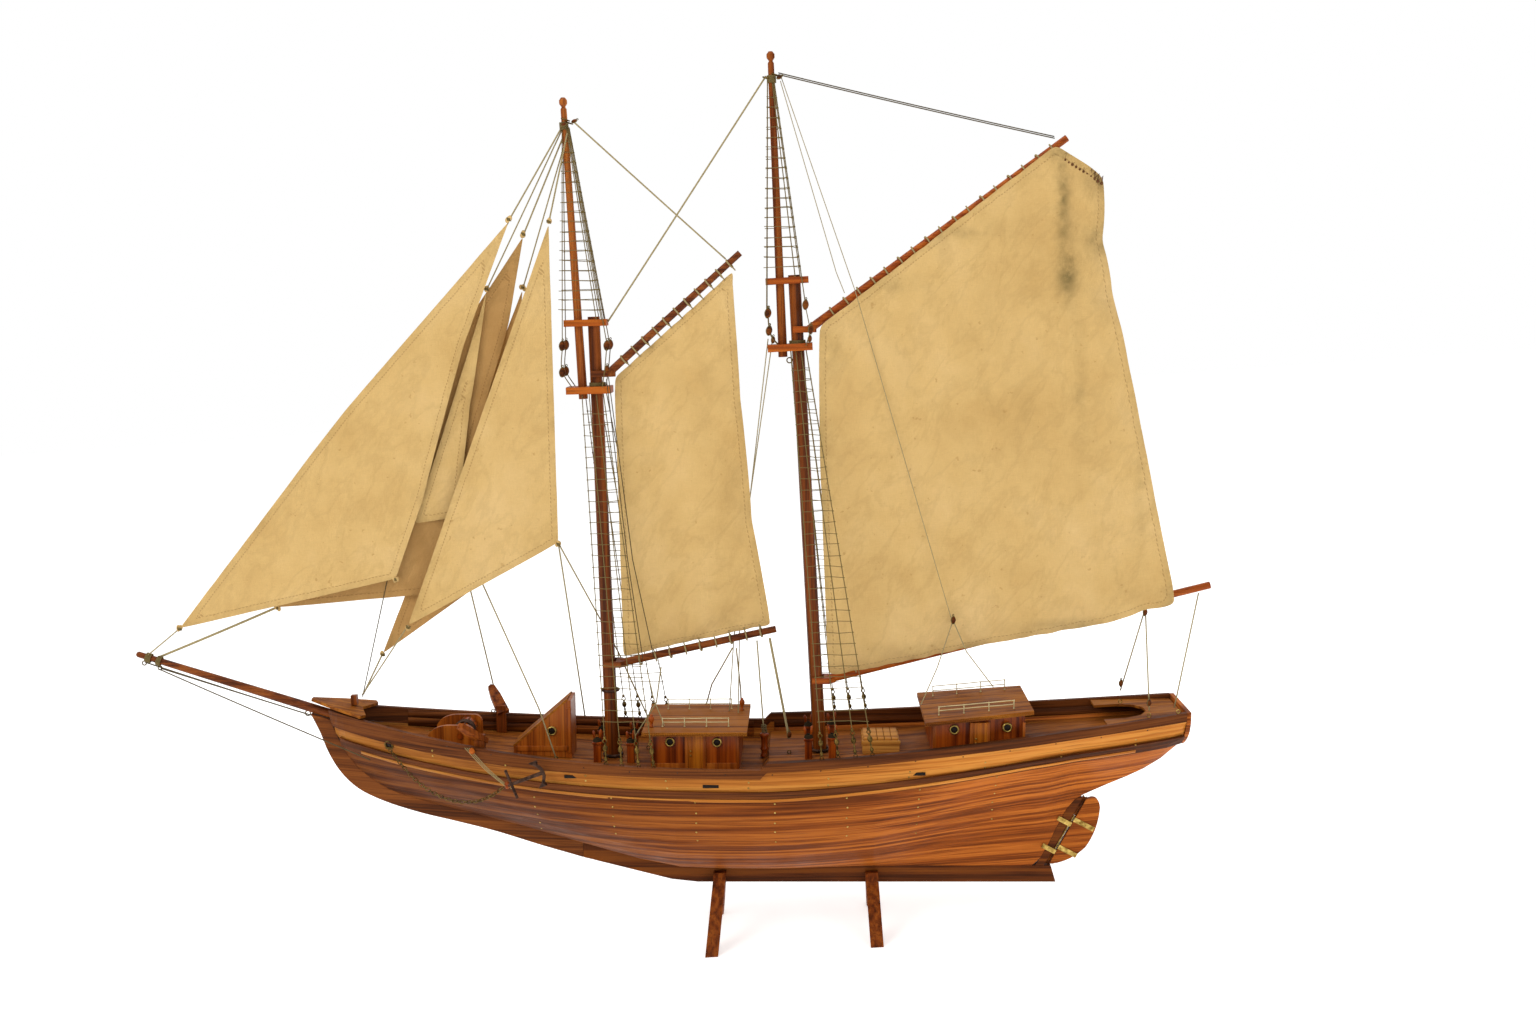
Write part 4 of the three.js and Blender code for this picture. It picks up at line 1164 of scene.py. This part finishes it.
def cabin(prefix, x0, x1, base, z0, y, doors, lights, roof):
    """Fittings on both long walls: base board, corner posts, door with trim and knobs, portholes."""
    for side, label in SIDES:
        trim, door, knobs, rims, pane_shade = Parts(), Parts(), Parts(), Parts(), Parts()
        wall = side * (y + 0.8)
        level = (base + z0) / 2
        height = z0 - base
        panel(trim, (x0 + x1) / 2, base + 5.0, wall, x1 - x0 - 1, 8.0, 1.4)
        for x in (x0 + 1.6, x1 - 1.6):
            panel(trim, x, level + 1, wall, 2.6, height - 3, 1.6)
        low, high = doors
        for x in (low, high):
            panel(trim, x, level + 1, side * (y + 1.4), 3.0, height - 2, 2.4)
        panel(door, (low + high) / 2, level + 1, side * (y + 0.9), high - low - 3, height - 3, 1.4)
        for lift in (2.5, -2.0):
            knobs.ball(at(low + 4.2, level + lift, side * (y + 2.2)), 0.0009, 6, 10)
        for x, z in lights:
            porthole(rims, pane_shade, at(x, z, side * (y + 0.2)), heading(0, 0, side))
        trim.piece(f"{prefix}_trim_{label}", "hood_wood")
        door.piece(f"{prefix}_door_{label}", "door_wood")
        knobs.piece(f"{prefix}_knobs_{label}", "brass")
        rims.piece(f"{prefix}_porthole_rims_{label}", "brass")
        pane_shade.piece(f"{prefix}_porthole_lights_{label}", "hole")
    rails = Parts()
    rx0, rx1, rz0, rz1, near, far = roof
    handrail(rails, rx0, rx1, rz0, rz1, -near, 8.5)
    handrail(rails, rx0, rx1, rz0, rz1, far, 10.5)
    rails.piece(f"{prefix}_handrails", "wire")


cabin("fore_cabin", -114, -26, 130, 168, 47, (-78.5, -60.5), [(-94.7, 160.5), (-48, 160)],
      (-103, -37, 172.4, 172.4, 34, 34))
cabin("aft_cabin", 165, 256, 143, 181, 50.5, (203, 219.5), [(186, 173.5), (238, 175.5)],
      (172, 246, 184.4, 191, 38, 38))


def roof_edge(name, x0, x1, y0, y1, z0, z1):
    """Small half-round notches worked along a roof's long edges."""
    parts = Parts()
    count = 58
    for side in (-1, 1):
        for i in range(count):
            t = (i + 0.5) / count
            y = side * (y0 + (y1 - y0) * t + 0.2)
            centre = at(x0 + (x1 - x0) * t, z0 + (z1 - z0) * t, y)
            parts.ball(centre, 0.00105, 4, 8)
    parts.piece(name, "roof_wood")


roof_edge("fore_roof_beading", -121, -19, 55, 55, 170.2, 170.2)
roof_edge("aft_roof_beading", 158, 263, 60, 51, 180.8, 190.2)


def companionway():
    """Side light and corner framing."""
    for side, label in SIDES:
        rims, pane_shade, trim = Parts(), Parts(), Parts()
        porthole(rims, pane_shade, at(-216.8, 163.6, side * 17.2), heading(0, 0, side))
        panel(trim, -199.5, 164, side * 17.6, 4.0, 46, 1.4)
        panel(trim, -227, 145.5, side * 17.6, 54, 5.0, 1.4)
        rims.piece(f"companion_porthole_rim_{label}", "brass")
        pane_shade.piece(f"companion_porthole_light_{label}", "hole")
        trim.piece(f"companion_trim_{label}", "hood_wood")


companionway()


def hood_boards():
    """Lengthwise boards on the companionway's sloping top."""
    parts = Parts()
    slope = math.atan2(195 - 147, 56)
    turn = SHIP.to_3x3().normalized() @ Matrix.Rotation(-slope, 3, "Y")
    lift = Vector((-math.sin(slope), math.cos(slope))) * 0.8
    for k in range(4):
        y = -12.9 + 8.6 * k
        parts.box(at(-228 + lift.x, 171 + lift.y, y), (0.0735, 0.0083, 0.0020), turn, 0.25)
    parts.piece("companion_hood_boards", "roof_wood")


hood_boards()


# ---- deck fittings ----
def bitts(name, x, y):
    """A square post with belaying pins and a few turns of cord."""
    foot = on_top(x, y, DECKS)
    up = heading(0, 1)
    post, cords, pins = Parts(), Parts(), Parts()
    post.box(foot + up * 0.009, (0.0074, 0.0074, 0.0196), None, 0.18)
    post.box(foot + up * 0.0195, (0.0092, 0.0092, 0.0024), None, 0.4)
    for k in range(3):
        cords.ring(foot + up * (0.0212 + k * 0.0013), up, 0.0038 - k * 0.0004, 0.0008, 18, 6)
    for offset, height in ((-0.0022, 0.012), (0.0021, 0.0135)):
        base = foot + up * 0.020 + heading(1, 0) * offset
        profile = [(0.0009, 0), (0.0010, 0.005), (0.0016, 0.008), (0.0013, height - 0.001),
                   (0.0004, height)]
        pins.lathe(base, (up + heading(1, 0) * offset * 60).normalized(), profile, 10)
    post.piece(f"{name}_post", "cabin_wood")
    cords.piece(f"{name}_cord", "dark_rope")
    pins.piece(f"{name}_pins", "cabin_wood")


for side, label in SIDES:
    bitts(f"fore_bitt_1_{label}", -170.5, side * 21)
    bitts(f"fore_bitt_2_{label}", -137, side * 18)
    bitts(f"main_bitt_1_{label}", 42.6, side * 23)
    bitts(f"main_bitt_2_{label}", 66.5, side * 25)

CAPSTAN = [(4.2, 0), (4.4, 1.5), (3.5, 3), (3.2, 6), (4.4, 8), (4.4, 9), (3.3, 11), (3.6, 20), (4.6, 22),
           (4.6, 24), (2.2, 25)]
capstan_foot = on_top(-2.4, 5, DECKS)
capstan = Parts()
capstan.lathe(capstan_foot, heading(0, 1), [(r * MM, (h - 0.4) * MM) for r, h in CAPSTAN], 20)
capstan.piece("deck_capstan", "cabin_wood")


def cord_heap(name, centre, turns, radius):
    parts = Parts()
    path = []
    for i in range(turns * 12):
        angle = 2 * math.pi * i / 12
        wobble = radius * (1 + 0.22 * math.sin(i * 1.7))
        path.append(centre + Vector((math.cos(angle) * wobble, math.sin(angle) * wobble * 0.8,
                                     i / (turns * 12) * 0.009)))
    parts.tube(path, 0.0006, 5)
    parts.piece(name, "rope")


cord_heap("capstan_cord", capstan_foot + heading(0, 1) * 0.0245, 5, 0.0024)


for name, x, z, radius, wire in (
    ("fore_mast_ring", -158.7, 202, 8.4, 1.3),
    ("fore_mast_ring_foot", -157.2, 134.5, 9.0, 1.6),
    ("main_mast_ring_foot", 54.6, 139.5, 9.0, 1.6),
):
    band = Parts()
    band.ring(at(x, z), heading(0, 1), radius * MM, wire * MM, 28, 8)
    band.piece(name, "iron")


def hatch_boards():
    """Planks on the hatch with a coaming strip round them."""
    parts, rim = Parts(), Parts()
    for i in range(5):
        x = 101.5 + 7.0 * i
        parts.box(at(x, 154.6, 0), (0.0064, 0.040, 0.0026), None, 0.35)
    for side in (-1, 1):
        rim.box(at(115.5, 152.2, side * 22.3), (0.039, 0.0016, 0.004), None, 0.35)
    parts.piece("hatch_boards", "pale_wood")
    rim.piece("hatch_rim", "pale_wood")


hatch_boards()

VENT = [(1.9, 0), (2.2, 1.2), (1.5, 2.2), (1.6, 5.5), (2.6, 7), (2.9, 9), (2.4, 11), (1.4, 11.6),
        (1.8, 12.6), (0.5, 13.6)]
for name, x, y in (("fore_vent", -114, -34), ("aft_vent", -26, 30)):
    vent = Parts()
    vent.lathe(at(x, 171.6, y), heading(0, 1), [(r * MM, h * MM) for r, h in VENT], 16)
    vent.piece(f"roof_{name}", "cabin_wood")


# ---- blocks, deadeyes and hooks ----
def pulley(parts, straps, centre, along, size):
    """A flattened oval block with a scored strap round it."""
    along = along.normalized()
    side = along.orthogonal().normalized()
    third = along.cross(side)
    shape = Matrix((along, side * 0.86, third * 0.6)).transposed()
    parts.ball(centre, size * MM, 8, 14, shape)
    loop = []
    for i in range(17):
        angle = 2 * math.pi * i / 16
        loop.append(centre + along * size * 1.08 * MM * math.cos(angle)
                    + side * size * 0.80 * MM * math.sin(angle))
    straps.tube(loop, 0.00045, 5)
    straps.ring(centre + along * size * 1.35 * MM, third, 0.0011, 0.0004, 10, 5)


BLOCKS = [
    (-197, 551, -12, 4.4), (-197.5, 525, -12, 4.4), (-153, 551, -13, 4.4), (-154, 528, -9, 3.0),
    (5, 581, -13, 4.4), (6, 564, -12, 4.2), (10, 555, -9, 3.0), (42, 589, -14.5, 4.4),
    (47, 565, -15, 4.0), (46, 556, -14.5, 3.0), (-197, 551, 12, 4.4), (5, 581, 13, 4.4),
    (42, 589, 14.5, 4.4), (-153, 551, 13, 4.4), (-197.5, 525, 12, 4.2), (47, 565, 15, 4.0),
    (6, 564, 12, 4.2),
]
blocks, straps = Parts(), Parts()
for x, z, y, size in BLOCKS:
    pulley(blocks, straps, at(x, z, y), heading(0.1, 1, 0.05), size)
for x, z, y in ((-191, 764, -5), (-182, 768, 4), (18, 806, -5), (9, 808, 5)):
    pulley(blocks, straps, at(x, z, y), heading(0.6, 0.4, 0.3), 2.6)
for x, z, y in ((381, 194, -28), (364, 200, 28), (-29, 158, 82), (23, 156, -6)):
    pulley(blocks, straps, at(x, z, y), heading(0, 1), 3.4)
blocks.piece("rigging_blocks", "keel_wood")
straps.piece("rigging_block_straps", "thread")
boom_blocks, boom_straps = Parts(), Parts()
for x, z, y in ((187, 277, -21), (381, 280, 0)):
    pulley(boom_blocks, boom_straps, at(x, z, y), heading(0, 1), 3.6)
boom_blocks.piece("main_boom_blocks", "keel_wood", "main_rig")
boom_straps.piece("main_boom_block_straps", "thread", "main_rig")


# ---- hull fittings ----
def nails(name, stations, low, high, step, material="brass", radius=1.0):
    """Nail heads in upright rows at the stations, on both sides."""
    for side, label in SIDES:
        parts = Parts()
        for x in stations:
            z = high(x)
            while z > low(x):
                point, normal = on_side(x + random.uniform(-0.8, 0.8), z + random.uniform(-1, 1), side)
                parts.ball(point + normal * 0.0001, radius * MM, 5, 10, flatten(normal, 0.4))
                z -= step
        parts.piece(f"{name}_{label}", material)


def flatten(normal, share):
    """Scales by share along normal."""
    keep = Matrix.Identity(3)
    n = normal.normalized()
    outer = Matrix([[n[i] * n[j] for j in range(3)] for i in range(3)])
    return keep - outer * (1 - share)


def sheer_line(x):
    return rail_level(x) + RAIL_MIDDLE


nails("bottom_nails", (-228, -149, -67, 10, 80, 150, 227), lambda x: 62, lambda x: sheer_line(x) - 34, 11)
nails("strake_nails", (-330, -255, -175, -95, -15, 62, 140, 215, 290, 365), lambda x: sheer_line(x) - 22,
      lambda x: sheer_line(x) - 13, 6)
nails("rail_nails", range(-360, 400, 46), lambda x: sheer_line(x) - 6, lambda x: sheer_line(x) - 4, 9,
      "iron", 0.7)


def scuppers():
    """Dark flat boxes laid on the light strake, painted shade where slots through it would be."""
    for side, label in SIDES:
        parts = Parts()
        for x, z in ((-187.5, 136.0), (-52, 129.2), (148, 137.5)):
            point, normal = on_side(x, z, side)
            turn = Matrix((heading(1, 0), heading(0, 0, 1), heading(0, 1))).transposed()
            parts.box(point + normal * 0.0001, (0.0155, 0.0006, 0.0032), turn, 0.5)
        parts.piece(f"scupper_slots_{label}", "hole")


scuppers()


def hawse_rings():
    for side, label in SIDES:
        rims, holes = Parts(), Parts()
        point, normal = on_side(-377.5, 155.4, side)
        rims.ring(point + normal * 0.0004, normal, 0.0043, 0.0010, 24, 8)
        # The dark disc in each ring is painted shade for the hawse hole.
        holes.lathe(point, normal, [(0.0038, -0.0003), (0.0038, 0.0005), (0.0, 0.0006)], 20)
        rims.piece(f"hawse_ring_{label}", "old_brass")
        holes.piece(f"hawse_hole_{label}", "hole")


hawse_rings()


def eyes(parts, centre, normal):
    parts.ring(centre + heading(0, 1) * 0.0018, normal, 0.0018, 0.0005, 14, 6)
    parts.lathe(centre - heading(0, 1) * 0.0006, heading(0, 1), [(0.0013, 0), (0.0006, 0.001)], 10)


def small_hooks():
    """Screw eyes where lines end on the deck, the rails, the spars and the bowsprit."""
    parts = Parts()
    for x, y in ((-212, -26), (-84, -38), (23, -6), (-30, 20), (-40, 30), (-124, 30)):
        eyes(parts, on_top(x, y, DECKS), heading(0, 0, 1))
    for x, side in ((-292, 1), (-70, 1), (-62, 1), (-29, 1)):
        eyes(parts, rail_top(x, side), heading(0, 0, 1))
    for x, z in ((-632, 238), (-623, 235), (-636, 231), (-620, 226)):
        parts.ring(at(x, z), heading(0, 0, 1), 0.0021, 0.0006, 14, 6)
    for x, z in ((26, 535), (-470, 178)):
        parts.ring(at(x, z, -7 if z > 400 else 0), heading(0, 0, 1), 0.0026, 0.0006, 16, 6)
    for x, z, y in ((-190, 769, 0), (-187, 766, 0), (14, 809, 0), (6, 806, 0)):
        parts.ring(at(x, z, y), heading(0.3, 1), 0.0042, 0.0006, 16, 6)
    parts.piece("screw_eyes", "old_brass")


small_hooks()


def wrappings():
    """Seizings of light cord at the mast heads, the bowsprit end and the trestles."""
    parts = Parts()
    for x, z, tall, radius, axis in (
        (-191.6, 764, 8, 3.6, (-0.05, 1)), (10.3, 806, 8, 3.7, (-0.03, 1)),
        (-632, 237, 7, 4.0, (-1, 0.32)), (-621, 233.5, 5, 4.1, (-1, 0.32)),
        (-164.6, 512, 6, 7.4, (-0.02, 1)), (33.9, 552, 6, 7.4, (-0.05, 1)),
    ):
        along = heading(*axis)
        for k in range(int(tall / 1.2)):
            centre = at(x, z) + along * (k * 1.2 - tall / 2) * MM
            parts.ring(centre, along, (radius + 0.4) * MM, 0.0006, 20, 6)
    parts.piece("seizings", "thread")


wrappings()


def far_chain():
    """The chains inboard, from each hawse to the windlass."""
    for side, label in reversed(SIDES):
        route = [(-382, 152, 36), (-372, 151, 33), (-352, 151, 26), (-332, 153, 19), (-321.5, 161, 18.5)]
        path = [at(x, z, side * y) for x, z, y in route]
        chain(f"inboard_chain_{label}", path)


far_chain()


def windlass_bits():
    """Whelps and turns round the drum; they turn with it."""
    staves, turns = Parts(), Parts()
    middle = at(-309, 160)
    for k in range(10):
        angle = 2 * math.pi * k / 10
        out = Vector((math.cos(angle), 0, math.sin(angle)))
        for y in (-12, 12):
            staves.box(middle + out * 0.0093 + Vector((0, y * MM, 0)), (0.0018, 0.0085, 0.0012),
                       Matrix.Rotation(-angle, 3, "Y"), 0.35)
    for k in range(6):
        turns.ring(middle + Vector((0, (k - 2.5) * 0.0016, 0)), Vector((0, 1, 0)), 0.0099, 0.0008, 28, 6)
    staves.piece("windlass_whelps", "keel_wood", "windlass")
    turns.piece("windlass_turns", "iron", "windlass")


windlass_bits()


def stern_details():
    """Screw eyes on the poop deck and its rail, where the lines from the main boom end."""
    parts = Parts()
    for x, side in ((408, -1), (381, -1), (364, 1)):
        eyes(parts, rail_top(x, side) if x > 400 else on_top(x, side * 30, ["poop_deck"]), heading(0, 0, 1))
    parts.piece("poop_hooks", "brass")


stern_details()


def lashings():
    """The thin tackle from each cathead down to the anchor stowed outside the rail."""
    for side, label in SIDES:
        parts, shells = Parts(), Parts()
        start = TO_SHIP @ rail_top(-292, side)
        for k in range(3):
            head = at(start.x - 3 + 2 * k, start.z - 1, start.y + side * 3.5)
            tail = at(-252 + 3 * k, 128 - 1.5 * k, side * (87.5 - 0.5 * k))
            middle = head.lerp(tail, 0.5) + heading(0, -0.4, side) * 0.003
            parts.tube(smoothed([head, middle, tail], 0.004), 0.0004, 5)
        for t in (0.08, 0.9):
            shape = Matrix.Diagonal((1, 0.7, 1.25)).to_3x3()
            shells.ball(head.lerp(tail, t) + heading(0, 0, side) * 0.0012, 0.0030, 6, 9, shape)
        parts.piece(f"anchor_lashing_{label}", "twine")
        shells.piece(f"anchor_tackle_blocks_{label}", "boom_wood")


lashings()


def head_knots():
    """The knotted cloth and cord at the corners of the headsails."""
    cloth, cords = Parts(), Parts()
    for x, z, y in (
        (-247, 674, -6), (-272, 607, -1), (-207, 671, -12), (-235, 660, 4), (-238, 608, 10),
        (-595, 268, -6), (-497, 287, 4), (-360, 270, -12), (-393, 237, 10), (-206, 354, -12),
        (-372, 318, -6), (-262, 330, 10),
    ):
        for k in range(3):
            shift = Vector((random.uniform(-1, 1), random.uniform(-0.6, 0.6), random.uniform(-1, 1)))
            shape = Matrix.Diagonal((1, 0.6, 1.3)).to_3x3()
            cloth.ball(at(x, z, y) + shift * 0.0016, 0.0021, 5, 8, shape)
        for k in range(3):
            centre = at(x, z, y) + Vector((0, 0, (k - 1) * 0.0009))
            cords.ring(centre, heading(0.3, 1), 0.0020, 0.0005, 12, 5)
    cloth.piece("sail_corner_knots", "sailcloth")
    cords.piece("sail_corner_cords", "thread")


head_knots()

# ---- rudder post lips ----
PIN_LOW = (285.9, 17.0)
PIN_HIGH = (324.5, 89.2)


def lip(name, near, far, body):
    """A dark fillet along the rudder's pin, between two distances aft of it in mm."""
    run = Vector((PIN_HIGH[0] - PIN_LOW[0], PIN_HIGH[1] - PIN_LOW[1])).normalized()
    parts = Parts()
    turn = Matrix((heading(run.y, -run.x), heading(0, 0, 1), heading(run.x, run.y))).transposed()
    for k in range(4):
        t = (k + 0.5) / 4
        x = PIN_LOW[0] + (PIN_HIGH[0] - PIN_LOW[0]) * t + run.y * (near + far) / 2
        z = PIN_LOW[1] + (PIN_HIGH[1] - PIN_LOW[1]) * t - run.x * (near + far) / 2
        parts.box(at(x, z), (abs(far - near) * MM, 0.0018, 0.0205), turn, 0.3)
    parts.piece(name, "keel_wood", body)


lip("sternpost_fillet", -2.3, -1.0, "hull")
lip("rudder_fillet", 1.25, 2.3, "rudder")


def rudder_stock():
    """The stretches of round stock above and below the brass pin."""
    low, high = at(PIN_LOW[0], PIN_LOW[1]), at(PIN_HIGH[0], PIN_HIGH[1])
    parts = Parts()
    for start, end in ((0.01, 0.165), (0.725, 0.99)):
        length = (high - low).length * (end - start)
        profile = [(0.0009, 0), (0.00115, 0.0005), (0.00115, length)]
        parts.lathe(low.lerp(high, start), high - low, profile, 12)
    parts.piece("rudder_stock", "keel_wood", "rudder")


rudder_stock()


# ---- linings and battens along the hull ----
def strip(name, paths, material, body="hull"):
    """A ribbon through two or more rows of points, given a hair of thickness."""
    points, faces = [], []
    width = len(paths)
    for row in zip(*paths):
        points.extend(row)
    for i in range(len(paths[0]) - 1):
        for j in range(width - 1):
            a = i * width + j
            faces.append((a, a + 1, a + width + 1, a + width))
    piece = new_piece(name, mesh_from(name, points, faces), material, body)
    skin = piece.modifiers.new("thickness", "SOLIDIFY")
    skin.thickness = 0.0005
    skin.offset = 0
    return piece


def inner_face(x, z, side):
    """The bulwark's inner face at a height, found from the middle of the ship."""
    nodes = [f"{kind}_{side_name(side)}" for kind in ("sheer_strake", "rail")]
    found = hit(nodes, at(x, z, 0), heading(0, 0, side))
    return found[0] - heading(0, 0, side) * 0.0005 if found else None


LININGS = (("upper", -8.5, -1.2, "dark_wood"), ("lower", -18, -9.0, "bottom_wood"))


def bulwark_lining():
    """Dark plank above and orange plank below on the bulwark's inner face."""
    for side, label in SIDES:
        for part, x0, x1 in (("fore", -376, -10), ("aft", 6, 410)):
            for kind, low, high, material in LININGS:
                rows = [[], [], []]
                x = x0
                while x <= x1:
                    levels = [sheer_line(x) + low + (high - low) * t for t in (0, 0.5, 1)]
                    places = [inner_face(x, level, side) for level in levels]
                    if all(places):
                        for row, place in zip(rows, places):
                            row.append(place)
                    x += 8
                if len(rows[0]) > 2:
                    strip(f"bulwark_{kind}_{part}_{label}", rows, material)


bulwark_lining()


def outside_batten(name, drop, tall, x0, x1, material):
    """A thin batten under the wale on both sides."""
    for side, label in SIDES:
        rows = [[], [], []]
        x = x0
        while x <= x1:
            level = sheer_line(x) - drop(x)
            for row, step in zip(rows, (0, 0.5, 1)):
                place, normal = on_side(x, level - tall * step, side)
                row.append(place + normal * 0.0003)
            x += 8
        strip(f"{name}_{label}", rows, material)


def wale_foot(x):
    """How far the wale's lower edge lies under the sheer."""
    stops = [(-450, 37), (-366, 37), (-62, 32.5), (20, 32.5), (378, 28), (420, 28)]
    for (a, low), (b, high) in zip(stops, stops[1:]):
        if x <= b:
            return low + (high - low) * (x - a) / (b - a)
    return 28


outside_batten("pale_batten", lambda x: wale_foot(x) - 3.2, 3.0, -410, 372, "strake_wood")

# ---- materials of the carried-over CAD nodes ----
NODE_WOOD = {
    "stem": "stem_wood", "keel": "keel_wood", "sternpost": "keel_wood", "bottom_planking": "bottom_wood",
    "sheer_strake": "strake_wood", "rail": "dark_wood", "wale": "dark_wood", "bulkhead": "pale_wood",
    "main_deck": "deck_wood", "quarter_deck": "deck_wood", "poop_deck": "roof_wood",
    "transom": "bottom_wood",
    "breasthook": "roof_wood", "bowsprit": "spar_wood", "bow_bitt": "mast_wood",
    "windlass_frame": "hood_wood", "windlass_drum": "cabin_wood",
    "cathead": "upright_wood", "anchor": "iron", "companionway": "hood_wood", "fore_cabin_roof": "roof_wood",
    "aft_cabin_roof": "roof_wood", "fore_cabin": "cabin_wood", "aft_cabin": "cabin_wood",
    "hatch": "pale_wood",
    "fore_lower_mast": "mast_wood", "main_lower_mast": "mast_wood", "fore_topmast": "topmast_wood",
    "main_topmast": "upright_wood", "fore_trestle": "boom_wood", "fore_cap": "boom_wood",
    "main_trestle": "boom_wood", "main_cap": "boom_wood", "fore_boom": "spar_wood", "fore_gaff": "spar_wood",
    "main_boom": "boom_wood", "main_gaff": "boom_wood", "rudder_blade": "bottom_wood",
    "rudder_pintle": "brass", "rudder_pin": "brass", "stand": "upright_wood",
}


def dress_nodes():
    for name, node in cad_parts.items():
        keys = [key for key in NODE_WOOD if name.startswith(key)]
        if not keys:
            continue
        material = MATERIALS[NODE_WOOD[max(keys, key=len)]]
        for place in node.material_slots:
            place.material = material


def soften_edges():
    """Rounds the edges of the carved wooden nodes by a hair."""
    for name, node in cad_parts.items():
        if name.startswith(("anchor_chain", "bulkhead", "bottom", "sheer")) or name in SAILS:
            continue
        edge = node.modifiers.new("edge", "BEVEL")
        edge.width = 0.0006
        edge.segments = 2
        edge.limit_method = "ANGLE"
        edge.angle_limit = math.radians(40)
        edge.use_clamp_overlap = True


dress_nodes()
soften_edges()


# ---- floor and light ----
def make_stage():
    floor_mesh = mesh_from("floor", [(-6, -4, 0), (6, -4, 0), (6, 8, 0), (-6, 8, 0)], [(0, 1, 2, 3)])
    floor = bpy.data.objects.new("floor", floor_mesh)
    bpy.context.scene.collection.objects.link(floor)
    shader = Shader("floor_paper", 0.9)
    grain = shader.noise(shader.place((1, 1, 1)), 400.0, 2.0)
    shader.color(shader.ramp(grain, [(0.3, srgb(246, 246, 244)), (0.7, srgb(250, 250, 249))]))
    shader.surface.inputs["Emission Color"].default_value = (1, 1, 1, 1)
    shader.surface.inputs["Emission Strength"].default_value = 0.55
    floor_mesh.materials.append(shader.material)


def soft_light(name, place, aim, size, power, color=(1, 1, 1)):
    data = bpy.data.lights.new(name, "AREA")
    data.shape = "RECTANGLE"
    data.size, data.size_y = size
    data.energy = power
    data.color = color
    lamp = bpy.data.objects.new(name, data)
    bpy.context.scene.collection.objects.link(lamp)
    lamp.location = place
    lamp.rotation_euler = (Vector(aim) - Vector(place)).to_track_quat("-Z", "Y").to_euler()


def make_world():
    """White studio: the camera sees plain white, and the room's own light is softer than that."""
    world = bpy.data.worlds.new("studio")
    world.use_nodes = True
    tree = world.node_tree
    background = tree.nodes["Background"]
    background.inputs["Color"].default_value = (1, 1, 1, 1)
    path = tree.nodes.new("ShaderNodeLightPath")
    level = tree.nodes.new("ShaderNodeMapRange")
    level.inputs["To Min"].default_value = 0.5
    level.inputs["To Max"].default_value = 1.0
    tree.links.new(path.outputs["Is Camera Ray"], level.inputs["Value"])
    tree.links.new(level.outputs["Result"], background.inputs["Strength"])
    bpy.context.scene.world = world


make_stage()
make_world()
soft_light("key", (-2.0, -1.6, 2.2), (0, 0, 0.35), (1.8, 1.2), 40, (1.0, 0.98, 0.94))
soft_light("fill", (1.8, -2.2, 1.3), (0, 0, 0.3), (1.4, 1.4), 14, (1.0, 0.98, 0.95))
soft_light("top", (0.0, 0.0, 2.6), (0, 0, 0), (2.4, 1.6), 22)
soft_light("back", (0.4, 1.8, 1.6), (0, 0, 0.4), (2.0, 1.0), 8)
bpy.context.scene.view_settings.view_transform = "Standard"
